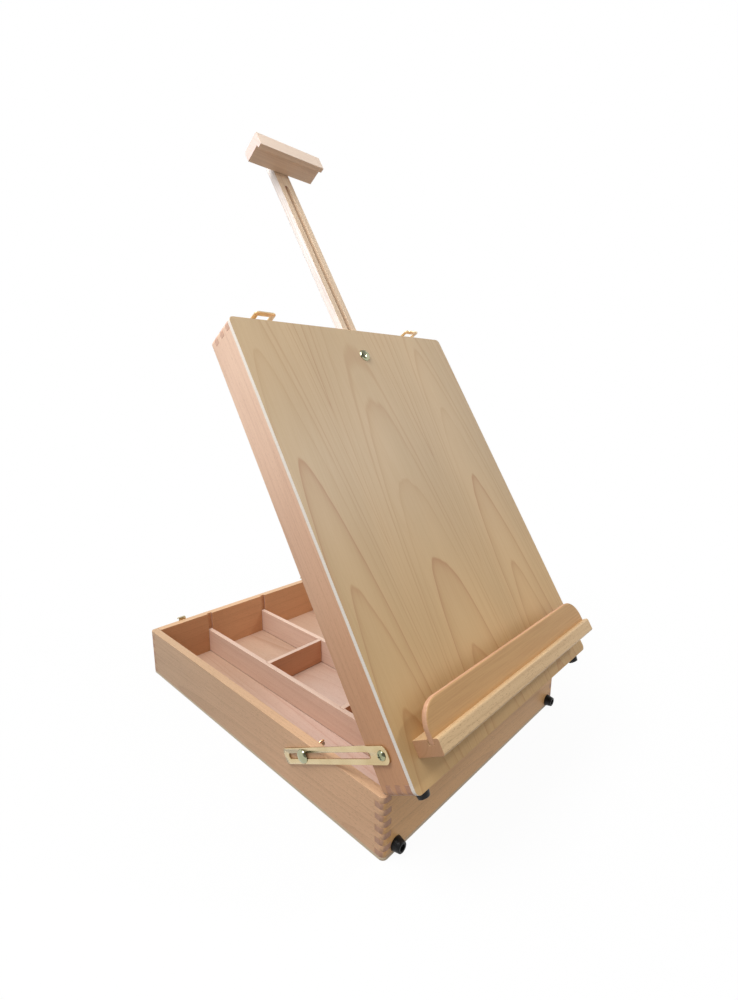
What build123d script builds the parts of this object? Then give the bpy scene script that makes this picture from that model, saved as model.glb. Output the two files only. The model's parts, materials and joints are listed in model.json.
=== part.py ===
"""Table-top box easel: a finger-jointed beech tray box whose lid is the drawing board.

Millimetres, +Z up. The origin is the centre of the underside of the base box.
The lid is modelled open at its working angle, with the mast raised.
"""
from build123d import *
import os
from math import atan, atan2, cos, degrees, hypot, radians, sin

os.makedirs("parts", exist_ok=True)

# Box
BOX_WIDTH = 310
BOX_DEPTH = 420
BASE_HEIGHT = 60
WALL = 9.5
BOTTOM_PLY = 3
CORNER_R = 5
BASE_BANDS = 10

# Lid, measured along its own board: x across, u up the board, n out of its face
LID_ANGLE = 58
LID_RAIL_HEIGHT = 34
LID_BANDS = 6
BOARD_PLY = 4
LID_GAP = 0.4

# Tray dividers, held in grooves
DIVIDER_T = 6
DIVIDER_HEIGHT = 33
DIVIDER_LEFT_X = -73
DIVIDER_RIGHT_X = 18
CROSS_REAR_Y = 63
CROSS_FRONT_Y = -73.5
WALL_GROOVE_DEPTH = 3
HOUSING_DEPTH = 2
GROOVE_SLACK = 0.4

# Canvas ledge on the board
LEDGE_INSET = 15
LEDGE_LOW_U = 21.8
LEDGE_TALL = 13.5
LEDGE_DEPTH = 28
LIP_T = 6
LIP_TOP_U = 60
LIP_CORNER_R = 20
LIP_FRONT_STRIP = 5.7
LIP_GROOVE_DEPTH = 5
LEDGE_EDGE_R = 2
LEDGE_SCREW_INSET = 30

# Sliding mast and its clamp block
MAST_WIDTH = 21
MAST_T = 9.5
MAST_LENGTH = 385
MAST_SLOT_WIDTH = 5.6
MAST_SLOT_MARGIN = 18
MAST_BOLT_FROM_TOP = 32.3
MAST_RAISED = 220
BLOCK_WIDTH = 90
BLOCK_DEEP = 27
BLOCK_TALL = 12.5
BLOCK_LIP_T = 6
BLOCK_LIP_DROP = 4
BLOCK_BACK_R = 4
BLOCK_SCREW_SPACING = 11

# Slotted stays, one on each side
STAY_LENGTH = 150
STAY_WIDTH = 15
STAY_T = 1.5
STAY_END_MARGIN = 7.5
STAY_SLOT_START = 13.6
STAY_SLOT_END = 135
STAY_SLOT_WIDTH = 5.4
STAY_LID_END_R = 6
STAY_FREE_END_R = 4
STAY_PIVOT_U = 33.5
STAY_PIVOT_N = 18.1
STAY_BOLT_FROM_FRONT = 98.4
STAY_BOLT_BELOW_TOP = 13.9

# Clamping bolts and wing nuts
BOLT_R = 2.4
BOLT_HEAD_R = 6.75
BOLT_HEAD_TALL = 3.3
DOME_STEPS = ((1.0, 0.0), (0.8, 0.55), (0.4, 1.0))
MAST_STUD_END_N = 8
STAY_STUD_INSIDE = 14
WASHER_R = 7.5
WASHER_T = 1.2
NUT_R = 4.6
NUT_TALL = 5
WING_SPAN = 25
WING_TALL = 9
WING_T = 1.8
STAY_NUT_TURN = 35

# Wood screws and pins
SCREW_R = 1.4
SCREW_HEAD_R = 2.6
SCREW_HEAD_TALL = 1.2
SCREW_SIDES = 8
SCREW_LENGTH = 9
LONG_SCREW_LENGTH = 19
PIVOT_SCREW_R = 2
PIVOT_SCREW_HEAD_R = 4.2
PIVOT_SCREW_HEAD_TALL = 2.4
PIVOT_SCREW_IN_WOOD = 8

# Butt hinges
HINGE_FROM_SIDE = 60
HINGE_LENGTH = 40
HINGE_LEAF_T = 1
HINGE_LEAF_WIDE = 7.5
KNUCKLE_R = 2.2
KNUCKLE_COUNT = 5
KNUCKLE_GAP = 0.3
HINGE_PIN_R = 1
HINGE_AXIS_OUT = 2.5

# Rubber feet on the hinge side
FOOT_BASE_R = 6.5
FOOT_TIP_R = 5
FOOT_TALL = 7.5
FOOT_INSET_X = 15.5
FOOT_BASE_Z = 8.5
FOOT_LID_N = 26.5
FOOT_RECESS_R = 3
FOOT_RECESS_DEEP = 4
FOOT_SCREW_R = 1.5
FOOT_SCREW_HEAD_R = 2.7
FOOT_SCREW_HEAD_TALL = 1.6
FOOT_SCREW_IN_WOOD = 7

# Toggle latches on the lid, strikes on the base
LATCH_FROM_SIDE = 45.5
LATCH_WIDTH = 24
LATCH_PLATE_T = 1
LATCH_PLATE_LOW_N = 6
LATCH_PLATE_TALL = 23
LATCH_PIVOT_N = 13.8
LATCH_PIVOT_OUT = 3.5
LATCH_PIN_R = 1
LATCH_EAR_T = 1
LATCH_EAR_X = 4.3
LATCH_EAR_R = 2.1
LEVER_OPEN = 105
LEVER_CRANK = 6.5
LEVER_LENGTH = 19
LEVER_PLATE_T = 1.2
LEVER_PLATE_OUT = 2.6
LEVER_HEEL = 1
BAIL_T = 1.2
BAIL_REACH = 19.6
BAIL_BAR = 5.5
BAIL_WINDOW = 14
BAIL_CORNER_R = 4
BAIL_KNUCKLE_R = 1.8
STRIKE_BELOW_TOP = 3
STRIKE_TALL = 13
TONGUE_WIDTH = 10
TONGUE_T = 1
TONGUE_BEND_R = 1.2
TONGUE_ROOT_DOWN = 5
HOOK_UP = 2.4
HOOK_OUT = 6.4
HOOK_TIP_UP = 0.5
LATCH_SCREW_X = 8.6
LATCH_SCREW_MARGIN = 3.4
PLATE_CORNER_R = 2

# Carrying handle on the back wall
HANDLE_BELOW_TOP = 20
HANDLE_WIDTH = 100
HANDLE_DROP = 28
HANDLE_WIRE_R = 2.2
HANDLE_WIRE_SIDES = 8
HANDLE_OUT = 5
HANDLE_CORNER_R = 12
HANDLE_END_R = 4.5
HANDLE_PIN_IN = 14
BRACKET_WIDTH = 9
BRACKET_TALL = 24
BRACKET_T = 1.2
BRACKET_SCREW_MARGIN = 4
BOSS_R = 3.7

# Clearances
SCREW_CLEAR = 0.05
SHAFT_CLEAR = 0.06
FACE_GAP = 0.3
SLIDE_GAP = 0.2
PIECE_GAP = 0.02

# Lid frame: hinge axis on the front top edge, lid turned open about it
hinge_y = -BOX_DEPTH / 2 - HINGE_AXIS_OUT
hinge_z = BASE_HEIGHT + LID_GAP / 2
open_cos, open_sin = cos(radians(LID_ANGLE)), sin(radians(LID_ANGLE))
lid_origin = (
    0,
    hinge_y + HINGE_AXIS_OUT * open_cos - LID_GAP / 2 * open_sin,
    hinge_z + HINGE_AXIS_OUT * open_sin + LID_GAP / 2 * open_cos,
)
lid_plane = Plane(origin=lid_origin, x_dir=(1, 0, 0), z_dir=(0, -open_sin, open_cos))
board_front_n = LID_RAIL_HEIGHT + BOARD_PLY

half_w, half_d = BOX_WIDTH / 2, BOX_DEPTH / 2
inner_d = BOX_DEPTH - 2 * WALL
stay_bolt_y = -half_d + STAY_BOLT_FROM_FRONT
stay_bolt_z = BASE_HEIGHT - STAY_BOLT_BELOW_TOP
mast_bolt_u = BOX_DEPTH - MAST_BOLT_FROM_TOP
block_low_u = BOX_DEPTH + MAST_RAISED
ledge_length = BOX_WIDTH - 2 * LEDGE_INSET
latch_x = half_w - LATCH_FROM_SIDE
hinge_x = half_w - HINGE_FROM_SIDE
strike_middle_z = BASE_HEIGHT - STRIKE_BELOW_TOP - STRIKE_TALL / 2
handle_z = BASE_HEIGHT - HANDLE_BELOW_TOP
SIDES = ((-1, "left"), (1, "right"))


def lid_point(x, u, n):
    """World position of a point given on the lid."""
    return lid_plane.from_local_coords(Vector(x, u, n))


def lid_spot(x, u, n, facing, x_dir=(1, 0, 0)):
    """Plane at a lid point, facing along a direction given on the lid."""
    axes = (lid_plane.x_dir, lid_plane.y_dir, lid_plane.z_dir)
    normal = axes[0] * facing[0] + axes[1] * facing[1] + axes[2] * facing[2]
    return Plane(origin=lid_point(x, u, n), x_dir=x_dir, z_dir=normal)


def bands(low, high, count, first):
    """Every second finger band between two heights, counted from the low one."""
    tall = (high - low) / count
    return [(low + tall * i, low + tall * (i + 1)) for i in range(first, count, 2)]


def cut_fingers(frame, corners, finger_bands):
    """Cut the finger slots at a wall's corners into the part being built."""
    for low, high in finger_bands:
        with BuildSketch(frame.offset(low)) as slots:
            with Locations(*corners):
                Rectangle(WALL, WALL)
        extrude(slots.sketch, amount=high - low, mode=Mode.SUBTRACT)


def box_strip(x_low, x_high, y_low, y_high, depth):
    """Outline of one wall, cut out of the box's rounded footprint."""
    with BuildSketch(mode=Mode.PRIVATE) as strip:
        RectangleRounded(BOX_WIDTH, depth, CORNER_R)
        with Locations(((x_low + x_high) / 2, (y_low + y_high) / 2)):
            Rectangle(x_high - x_low, y_high - y_low, mode=Mode.INTERSECT)
    return strip.sketch


def top_cylinder(places, radius, tall, mode=Mode.ADD):
    """Cylinders whose top faces lie on the given planes."""
    with Locations(*places):
        Cylinder(radius, tall, align=(Align.CENTER, Align.CENTER, Align.MAX), mode=mode)


def countersunk_screws(places, length, clear=0.0, mode=Mode.ADD):
    """Eight-sided countersunk wood screws, or with a clearance the holes that take them."""
    necks = [place.offset(-SCREW_HEAD_TALL) for place in places]
    with BuildSketch(*necks) as neck_faces:
        RegularPolygon(SCREW_R + clear, SCREW_SIDES, major_radius=False)
    head_taper = degrees(atan((SCREW_HEAD_R - SCREW_R) / SCREW_HEAD_TALL))
    extrude(neck_faces.sketch, amount=SCREW_HEAD_TALL, taper=-head_taper, mode=mode)
    extrude(neck_faces.sketch, amount=SCREW_HEAD_TALL - length - clear, mode=mode)


def domes(places, radius, tall):
    """Domed screw heads standing on the given planes, turned in conical steps."""
    for (low_share, low), (high_share, high) in zip(DOME_STEPS, DOME_STEPS[1:]):
        with Locations(*[place.offset(low * tall) for place in places]):
            Cone(
                low_share * radius,
                high_share * radius,
                (high - low) * tall,
                align=(Align.CENTER, Align.CENTER, Align.MIN),
            )


def wing_nut(place, turn):
    """Wing nut seated on a plane, its wings turned by an angle, with its bore."""
    with Locations(place):
        Cone(NUT_R, NUT_R * 0.8, NUT_TALL, align=(Align.CENTER, Align.CENTER, Align.MIN))
    for half_turn in (0, 180):
        frame = Plane(place.location * Location((0, 0, 0), (0, 0, turn + half_turn)))
        upright = Plane(origin=frame.origin, x_dir=frame.x_dir, z_dir=-frame.y_dir)
        with BuildSketch(upright) as wing:
            with BuildLine():
                Polyline(
                    (NUT_R * 0.5, 0.6),
                    (WING_SPAN / 2 - 3.5, 1.6),
                    (WING_SPAN / 2, WING_TALL - 3),
                    (WING_SPAN / 2 - 2, WING_TALL),
                    (NUT_R * 0.5, NUT_TALL * 0.9),
                    close=True,
                )
            make_face()
            fillet(wing.vertices().sort_by(Axis.X)[-3:], radius=1.4)
        extrude(wing.sketch, amount=WING_T / 2, both=True)
    with Locations(place):
        Cylinder(BOLT_R + SHAFT_CLEAR, 3 * NUT_TALL, mode=Mode.SUBTRACT)


# Fastener places on the base
left_bolt, right_bolt = [(side * half_w, stay_bolt_y, stay_bolt_z) for side, _ in SIDES]
foot_base_places = [
    Plane(origin=(side * (half_w - FOOT_INSET_X), -half_d, FOOT_BASE_Z), z_dir=(0, -1, 0))
    for side, _ in SIDES
]
strike_screw_places = [
    Plane(
        origin=(
            side * latch_x + end * LATCH_SCREW_X,
            half_d + LATCH_PLATE_T,
            strike_middle_z,
        ),
        z_dir=(0, 1, 0),
    )
    for side, _ in SIDES
    for end in (-1, 1)
]
bracket_x = HANDLE_WIDTH / 2 - HANDLE_END_R - FACE_GAP - BRACKET_WIDTH / 2
bracket_screw_places = [
    Plane(
        origin=(
            side * bracket_x,
            half_d + BRACKET_T,
            handle_z + end * (BRACKET_TALL / 2 - BRACKET_SCREW_MARGIN),
        ),
        z_dir=(0, 1, 0),
    )
    for side, _ in SIDES
    for end in (-1, 1)
]
hinge_screw_xs = [
    side * hinge_x + step * HINGE_LENGTH / 3 for side, _ in SIDES for step in (-1, 0, 1)
]
base_hinge_screw_places = [
    Plane(origin=(x, -half_d + HINGE_LEAF_WIDE / 2, BASE_HEIGHT), z_dir=(0, 0, 1))
    for x in hinge_screw_xs
]
divider_xs = (DIVIDER_LEFT_X, DIVIDER_RIGHT_X)

# Fastener places on the lid
lid_hinge_screw_places = [lid_spot(x, HINGE_LEAF_WIDE / 2, 0, (0, 0, -1)) for x in hinge_screw_xs]
foot_lid_places = [
    lid_spot(side * (half_w - FOOT_INSET_X), 0, FOOT_LID_N, (0, -1, 0)) for side, _ in SIDES
]
latch_screw_places = [
    lid_spot(
        side * latch_x + end * LATCH_SCREW_X, BOX_DEPTH + LATCH_PLATE_T, n, (0, 1, 0)
    )
    for side, _ in SIDES
    for end in (-1, 1)
    for n in (
        LATCH_PLATE_LOW_N + LATCH_SCREW_MARGIN,
        LATCH_PLATE_LOW_N + LATCH_PLATE_TALL - LATCH_SCREW_MARGIN,
    )
]
pivot_places = [
    lid_spot(side * half_w, STAY_PIVOT_U, STAY_PIVOT_N, (side, 0, 0), lid_plane.y_dir)
    for side, _ in SIDES
]
ledge_screw_places = [
    lid_spot(x, LEDGE_LOW_U + LEDGE_TALL / 2, LID_RAIL_HEIGHT, (0, 0, -1))
    for x in (LEDGE_SCREW_INSET - ledge_length / 2, 0, ledge_length / 2 - LEDGE_SCREW_INSET)
]
mast_bolt_place = lid_spot(0, mast_bolt_u, board_front_n, (0, 0, 1))

# Base box: four finger-jointed walls on a plywood bottom
base_corners = [(x * (half_w - WALL / 2), y * (half_d - WALL / 2)) for x in (-1, 1) for y in (-1, 1)]
walls_low = BOTTOM_PLY
wall_tall = BASE_HEIGHT - BOTTOM_PLY
side_bands = bands(walls_low, BASE_HEIGHT, BASE_BANDS, 1)
end_bands = bands(walls_low, BASE_HEIGHT, BASE_BANDS, 0)

for end, end_name in ((-1, "front"), (1, "back")):
    with BuildPart() as base_end_wall:
        with BuildSketch(Plane.XY.offset(walls_low)):
            inner, outer = sorted((end * half_d, end * (half_d - WALL)))
            add(box_strip(-half_w, half_w, inner, outer, BOX_DEPTH))
        extrude(amount=wall_tall)
        cut_fingers(Plane.XY, base_corners, side_bands)
        with Locations(*[(x, end * (inner_d / 2), walls_low) for x in divider_xs]):
            Box(
                DIVIDER_T + GROOVE_SLACK,
                2 * WALL_GROOVE_DEPTH,
                wall_tall,
                align=(Align.CENTER, Align.CENTER, Align.MIN),
                mode=Mode.SUBTRACT,
            )
        if end_name == "front":
            with Locations(*[(side * hinge_x, -half_d, BASE_HEIGHT) for side, _ in SIDES]):
                Box(
                    HINGE_LENGTH + 2 * PIECE_GAP,
                    2 * (HINGE_LEAF_WIDE + PIECE_GAP),
                    2 * HINGE_LEAF_T,
                    mode=Mode.SUBTRACT,
                )
            countersunk_screws(base_hinge_screw_places, SCREW_LENGTH, SCREW_CLEAR, Mode.SUBTRACT)
            top_cylinder(
                foot_base_places, FOOT_SCREW_R + SCREW_CLEAR, FOOT_SCREW_IN_WOOD, Mode.SUBTRACT
            )
        else:
            back_screws = strike_screw_places + bracket_screw_places
            countersunk_screws(back_screws, SCREW_LENGTH, SCREW_CLEAR, Mode.SUBTRACT)
    base_end_wall.part.label = f"base_{end_name}_wall"
    export_step(base_end_wall.part, f"parts/base_{end_name}_wall.step")

for side, side_name in SIDES:
    with BuildPart() as base_side_wall:
        with BuildSketch(Plane.XY.offset(walls_low)):
            inner, outer = sorted((side * half_w, side * (half_w - WALL)))
            add(box_strip(inner, outer, -half_d, half_d, BOX_DEPTH))
        extrude(amount=wall_tall)
        cut_fingers(Plane.XY, base_corners, end_bands)
        with Locations(Plane(origin=(side * half_w, stay_bolt_y, stay_bolt_z), z_dir=(1, 0, 0))):
            Cylinder(BOLT_R + SCREW_CLEAR, 3 * WALL, mode=Mode.SUBTRACT)
    base_side_wall.part.label = f"base_{side_name}_wall"
    export_step(base_side_wall.part, f"parts/base_{side_name}_wall.step")

with BuildPart() as base_bottom_panel:
    with BuildSketch():
        RectangleRounded(BOX_WIDTH, BOX_DEPTH, CORNER_R)
    extrude(amount=BOTTOM_PLY)
base_bottom_panel.part.label = "base_bottom_panel"
export_step(base_bottom_panel.part, "parts/base_bottom_panel.step")

# Dividers: two long ones in wall grooves, two cross ones housed between them
divider_length = inner_d + 2 * WALL_GROOVE_DEPTH - GROOVE_SLACK
divider_top = BOTTOM_PLY + DIVIDER_HEIGHT
cross_ys = (CROSS_REAR_Y, CROSS_FRONT_Y)
for x, inward, divider_name in ((DIVIDER_LEFT_X, 1, "left"), (DIVIDER_RIGHT_X, -1, "right")):
    with BuildPart() as divider:
        with BuildSketch(Plane.XY.offset(BOTTOM_PLY)):
            with Locations((x, 0)):
                Rectangle(DIVIDER_T, divider_length)
            with Locations(*[(x + inward * DIVIDER_T / 2, y) for y in cross_ys]):
                Rectangle(2 * HOUSING_DEPTH, DIVIDER_T + GROOVE_SLACK, mode=Mode.SUBTRACT)
        extrude(amount=DIVIDER_HEIGHT)
    divider.part.label = f"divider_{divider_name}"
    export_step(divider.part, f"parts/divider_{divider_name}.step")

cross_length = DIVIDER_RIGHT_X - DIVIDER_LEFT_X - DIVIDER_T + 2 * HOUSING_DEPTH - GROOVE_SLACK
for y, cross_name in ((CROSS_REAR_Y, "rear"), (CROSS_FRONT_Y, "front")):
    with BuildPart() as cross_divider:
        with BuildSketch(Plane.XY.offset(BOTTOM_PLY)):
            with Locations(((DIVIDER_LEFT_X + DIVIDER_RIGHT_X) / 2, y)):
                Rectangle(cross_length, DIVIDER_T)
        extrude(amount=DIVIDER_HEIGHT)
    cross_divider.part.label = f"divider_cross_{cross_name}"
    export_step(cross_divider.part, f"parts/divider_cross_{cross_name}.step")

# Lid frame: rails finger-jointed like the base, under the plywood board
lid_corners = [(x * (half_w - WALL / 2), u) for x in (-1, 1) for u in (WALL / 2, BOX_DEPTH - WALL / 2)]
lid_end_bands = bands(0, LID_RAIL_HEIGHT, LID_BANDS, 0)
lid_side_bands = bands(0, LID_RAIL_HEIGHT, LID_BANDS, 1)
mast_back_n = LID_RAIL_HEIGHT - SLIDE_GAP - MAST_T

for end, end_name in ((-1, "bottom"), (1, "top")):
    with BuildPart() as lid_end_rail:
        with BuildSketch(lid_plane):
            low, high = sorted((end * half_d, end * (half_d - WALL)))
            with Locations((0, half_d)):
                add(box_strip(-half_w, half_w, low, high, BOX_DEPTH))
        extrude(amount=LID_RAIL_HEIGHT)
        cut_fingers(lid_plane, lid_corners, lid_end_bands)
        if end_name == "bottom":
            with BuildSketch(lid_plane):
                with Locations(*[(side * hinge_x, 0) for side, _ in SIDES]):
                    Rectangle(HINGE_LENGTH + 2 * PIECE_GAP, 2 * (HINGE_LEAF_WIDE + PIECE_GAP))
            extrude(amount=HINGE_LEAF_T, mode=Mode.SUBTRACT)
            countersunk_screws(lid_hinge_screw_places, SCREW_LENGTH, SCREW_CLEAR, Mode.SUBTRACT)
            top_cylinder(
                foot_lid_places, FOOT_SCREW_R + SCREW_CLEAR, FOOT_SCREW_IN_WOOD, Mode.SUBTRACT
            )
        else:
            with BuildSketch(lid_plane.offset(LID_RAIL_HEIGHT)):
                with Locations((0, BOX_DEPTH - WALL / 2)):
                    Rectangle(MAST_WIDTH + 2 * FACE_GAP, 2 * WALL)
            extrude(amount=-(MAST_T + SLIDE_GAP + FACE_GAP), mode=Mode.SUBTRACT)
            countersunk_screws(latch_screw_places, SCREW_LENGTH, SCREW_CLEAR, Mode.SUBTRACT)
    lid_end_rail.part.label = f"lid_{end_name}_rail"
    export_step(lid_end_rail.part, f"parts/lid_{end_name}_rail.step")

for side, side_name in SIDES:
    with BuildPart() as lid_side_rail:
        with BuildSketch(lid_plane):
            low, high = sorted((side * half_w, side * (half_w - WALL)))
            with Locations((0, half_d)):
                add(box_strip(low, high, -half_d, half_d, BOX_DEPTH))
        extrude(amount=LID_RAIL_HEIGHT)
        cut_fingers(lid_plane, lid_corners, lid_side_bands)
        top_cylinder(
            pivot_places, PIVOT_SCREW_R + SCREW_CLEAR, PIVOT_SCREW_IN_WOOD, Mode.SUBTRACT
        )
    lid_side_rail.part.label = f"lid_{side_name}_rail"
    export_step(lid_side_rail.part, f"parts/lid_{side_name}_rail.step")

with BuildPart() as drawing_board:
    with BuildSketch(lid_plane.offset(LID_RAIL_HEIGHT)):
        with Locations((0, half_d)):
            RectangleRounded(BOX_WIDTH, BOX_DEPTH, CORNER_R)
    extrude(amount=BOARD_PLY)
    with Locations(mast_bolt_place):
        Cylinder(BOLT_R + SCREW_CLEAR, 3 * BOARD_PLY, mode=Mode.SUBTRACT)
    countersunk_screws(ledge_screw_places, LONG_SCREW_LENGTH, SCREW_CLEAR, Mode.SUBTRACT)
drawing_board.part.label = "drawing_board"
export_step(drawing_board.part, "parts/drawing_board.step")

# Canvas ledge: a block with a grooved-in lip that keeps the canvas on the board
ledge_top_u = LEDGE_LOW_U + LEDGE_TALL
ledge_front_n = board_front_n + LEDGE_DEPTH
lip_front_n = ledge_front_n - LIP_FRONT_STRIP
lip_low_u = ledge_top_u - LIP_GROOVE_DEPTH
ledge_end = lid_spot(-ledge_length / 2, 0, 0, (1, 0, 0), lid_plane.y_dir)
with BuildPart() as ledge_block:
    with BuildSketch(ledge_end):
        with Locations(((LEDGE_LOW_U + ledge_top_u) / 2, (board_front_n + ledge_front_n) / 2)):
            Rectangle(LEDGE_TALL, LEDGE_DEPTH)
        with Locations((ledge_top_u, lip_front_n - LIP_T / 2)):
            Rectangle(2 * LIP_GROOVE_DEPTH, LIP_T, mode=Mode.SUBTRACT)
    extrude(amount=ledge_length)
    front_edges = ledge_block.edges().filter_by(Axis.X)
    front_edges = sorted(front_edges, key=lambda edge: lid_plane.to_local_coords(edge @ 0.5).Z)[-2:]
    fillet(front_edges, radius=LEDGE_EDGE_R)
    countersunk_screws(ledge_screw_places, LONG_SCREW_LENGTH, SCREW_CLEAR, Mode.SUBTRACT)
ledge_block.part.label = "ledge_block"
export_step(ledge_block.part, "parts/ledge_block.step")

with BuildPart() as ledge_lip:
    with BuildSketch(lid_plane.offset(lip_front_n - LIP_T)) as lip_face:
        with Locations((0, (lip_low_u + LIP_TOP_U) / 2)):
            Rectangle(ledge_length, LIP_TOP_U - lip_low_u)
        fillet(lip_face.vertices().group_by(Axis.Y)[-1], radius=LIP_CORNER_R)
    extrude(amount=LIP_T)
    rim = [
        edge
        for edge in ledge_lip.edges()
        if lid_plane.to_local_coords(edge @ 0.5).Y > ledge_top_u + LEDGE_EDGE_R
        and abs(lid_plane.to_local_coords(edge @ 0.5).Z - lip_front_n + LIP_T / 2) > LIP_T / 3
    ]
    chamfer(rim, length=LEDGE_EDGE_R / 2)
ledge_lip.part.label = "ledge_lip"
export_step(ledge_lip.part, "parts/ledge_lip.step")

with BuildPart() as ledge_screws:
    countersunk_screws(ledge_screw_places, LONG_SCREW_LENGTH)
ledge_screws.part.label = "ledge_screws"
export_step(ledge_screws.part, "parts/ledge_screws.step")

# Mast: a slotted bar behind the board, carrying the block that grips the canvas top
mast_front_n = LID_RAIL_HEIGHT - SLIDE_GAP
mast_top_u = block_low_u + BLOCK_TALL
mast_low_u = mast_top_u - MAST_LENGTH
slot_low_u = mast_low_u + MAST_SLOT_MARGIN
slot_high_u = block_low_u - MAST_SLOT_MARGIN
block_screw_places = [
    lid_spot(end * BLOCK_SCREW_SPACING / 2, block_low_u + BLOCK_TALL / 2, mast_back_n, (0, 0, -1))
    for end in (-1, 1)
]
with BuildPart() as mast_bar:
    with BuildSketch(lid_plane.offset(mast_back_n)):
        with Locations((0, (mast_low_u + mast_top_u) / 2)):
            RectangleRounded(MAST_WIDTH, MAST_LENGTH, 0.8)
        with Locations((0, (slot_low_u + slot_high_u) / 2)):
            SlotOverall(slot_high_u - slot_low_u, MAST_SLOT_WIDTH, rotation=90, mode=Mode.SUBTRACT)
    extrude(amount=MAST_T)
    countersunk_screws(block_screw_places, LONG_SCREW_LENGTH, SCREW_CLEAR, Mode.SUBTRACT)
mast_bar.part.label = "mast_bar"
export_step(mast_bar.part, "parts/mast_bar.step")

block_back_n = mast_front_n
block_front_n = block_back_n + BLOCK_DEEP
block_end = lid_spot(-BLOCK_WIDTH / 2, block_low_u, block_back_n, (1, 0, 0), lid_plane.y_dir)
with BuildPart() as mast_block:
    with BuildSketch(block_end) as block_profile:
        with BuildLine():
            Polyline(
                (0, 0),
                (0, BLOCK_DEEP - BLOCK_LIP_T),
                (-BLOCK_LIP_DROP, BLOCK_DEEP - BLOCK_LIP_T),
                (-BLOCK_LIP_DROP, BLOCK_DEEP),
                (BLOCK_TALL, BLOCK_DEEP),
                (BLOCK_TALL, 0),
                close=True,
            )
        make_face()
    extrude(amount=BLOCK_WIDTH)
    long_edges = mast_block.edges().filter_by(Axis.X)
    back_top = lid_point(0, mast_top_u, block_back_n)
    fillet(long_edges.sort_by(lambda edge: (edge @ 0.5 - back_top).length)[0], radius=BLOCK_BACK_R)
    countersunk_screws(block_screw_places, LONG_SCREW_LENGTH, SCREW_CLEAR, Mode.SUBTRACT)
mast_block.part.label = "mast_block"
export_step(mast_block.part, "parts/mast_block.step")

with BuildPart() as mast_block_screws:
    countersunk_screws(block_screw_places, LONG_SCREW_LENGTH)
mast_block_screws.part.label = "mast_block_screws"
export_step(mast_block_screws.part, "parts/mast_block_screws.step")

# Mast clamp: bolt through board and slot, washer and wing nut behind the mast
with BuildPart() as mast_bolt:
    domes([mast_bolt_place], BOLT_HEAD_R, BOLT_HEAD_TALL)
    top_cylinder([mast_bolt_place], BOLT_R, board_front_n - MAST_STUD_END_N)
mast_bolt.part.label = "mast_bolt"
export_step(mast_bolt.part, "parts/mast_bolt.step")

washer_top_n = mast_back_n - SLIDE_GAP
with BuildPart() as mast_washer:
    with BuildSketch(lid_plane.offset(washer_top_n - WASHER_T)):
        with Locations((0, mast_bolt_u)):
            Circle(WASHER_R)
            Circle(BOLT_R + SCREW_CLEAR, mode=Mode.SUBTRACT)
    extrude(amount=WASHER_T)
mast_washer.part.label = "mast_washer"
export_step(mast_washer.part, "parts/mast_washer.step")

with BuildPart() as mast_wing_nut:
    nut_top_n = washer_top_n - WASHER_T - SLIDE_GAP
    wing_nut(lid_spot(0, mast_bolt_u, nut_top_n, (0, 0, -1)), 0)
mast_wing_nut.part.label = "mast_wing_nut"
export_step(mast_wing_nut.part, "parts/mast_wing_nut.step")

# Stays: slotted bars from a screw on the lid rail to a clamp bolt on the base wall
pivot_at = lid_point(0, STAY_PIVOT_U, STAY_PIVOT_N)
stay_angle = atan2(stay_bolt_z - pivot_at.Z, stay_bolt_y - pivot_at.Y)
stay_dir = (0, cos(stay_angle), sin(stay_angle))
bolt_distance = hypot(stay_bolt_z - pivot_at.Z, stay_bolt_y - pivot_at.Y)
stay_inner_x = half_w + FACE_GAP
stay_outer_x = stay_inner_x + STAY_T

for side, side_name in SIDES:
    stay_plane = Plane(
        origin=(side * stay_inner_x, pivot_at.Y, pivot_at.Z), x_dir=stay_dir, z_dir=(side, 0, 0)
    )
    with BuildPart() as stay_bar:
        with BuildSketch(stay_plane) as stay_face:
            with Locations((STAY_LENGTH / 2 - STAY_END_MARGIN, 0)):
                Rectangle(STAY_LENGTH, STAY_WIDTH)
            fillet(stay_face.vertices().group_by(Axis.X)[0], radius=STAY_LID_END_R)
            fillet(stay_face.vertices().group_by(Axis.X)[-1], radius=STAY_FREE_END_R)
            with Locations(((STAY_SLOT_START + STAY_SLOT_END) / 2, 0)):
                SlotOverall(STAY_SLOT_END - STAY_SLOT_START, STAY_SLOT_WIDTH, mode=Mode.SUBTRACT)
            Circle(PIVOT_SCREW_R + SHAFT_CLEAR, mode=Mode.SUBTRACT)
        extrude(amount=STAY_T)
    stay_bar.part.label = f"stay_bar_{side_name}"
    export_step(stay_bar.part, f"parts/stay_bar_{side_name}.step")

    bolt_face = Plane(
        origin=(side * (stay_outer_x + SLIDE_GAP), stay_bolt_y, stay_bolt_z), z_dir=(side, 0, 0)
    )
    with BuildPart() as stay_bolt:
        domes([bolt_face], BOLT_HEAD_R, BOLT_HEAD_TALL)
        top_cylinder([bolt_face], BOLT_R, STAY_T + SLIDE_GAP)
    stay_bolt.part.label = f"stay_bolt_{side_name}"
    export_step(stay_bolt.part, f"parts/stay_bolt_{side_name}.step")

    with BuildPart() as stay_wing_nut:
        nut_x = side * (half_w - WALL - WASHER_T - SLIDE_GAP)
        nut_seat = Plane(origin=(nut_x, stay_bolt_y, stay_bolt_z), x_dir=(0, 0, 1), z_dir=(-side, 0, 0))
        wing_nut(nut_seat, STAY_NUT_TURN)
    stay_wing_nut.part.label = f"stay_wing_nut_{side_name}"
    export_step(stay_wing_nut.part, f"parts/stay_wing_nut_{side_name}.step")

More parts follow.
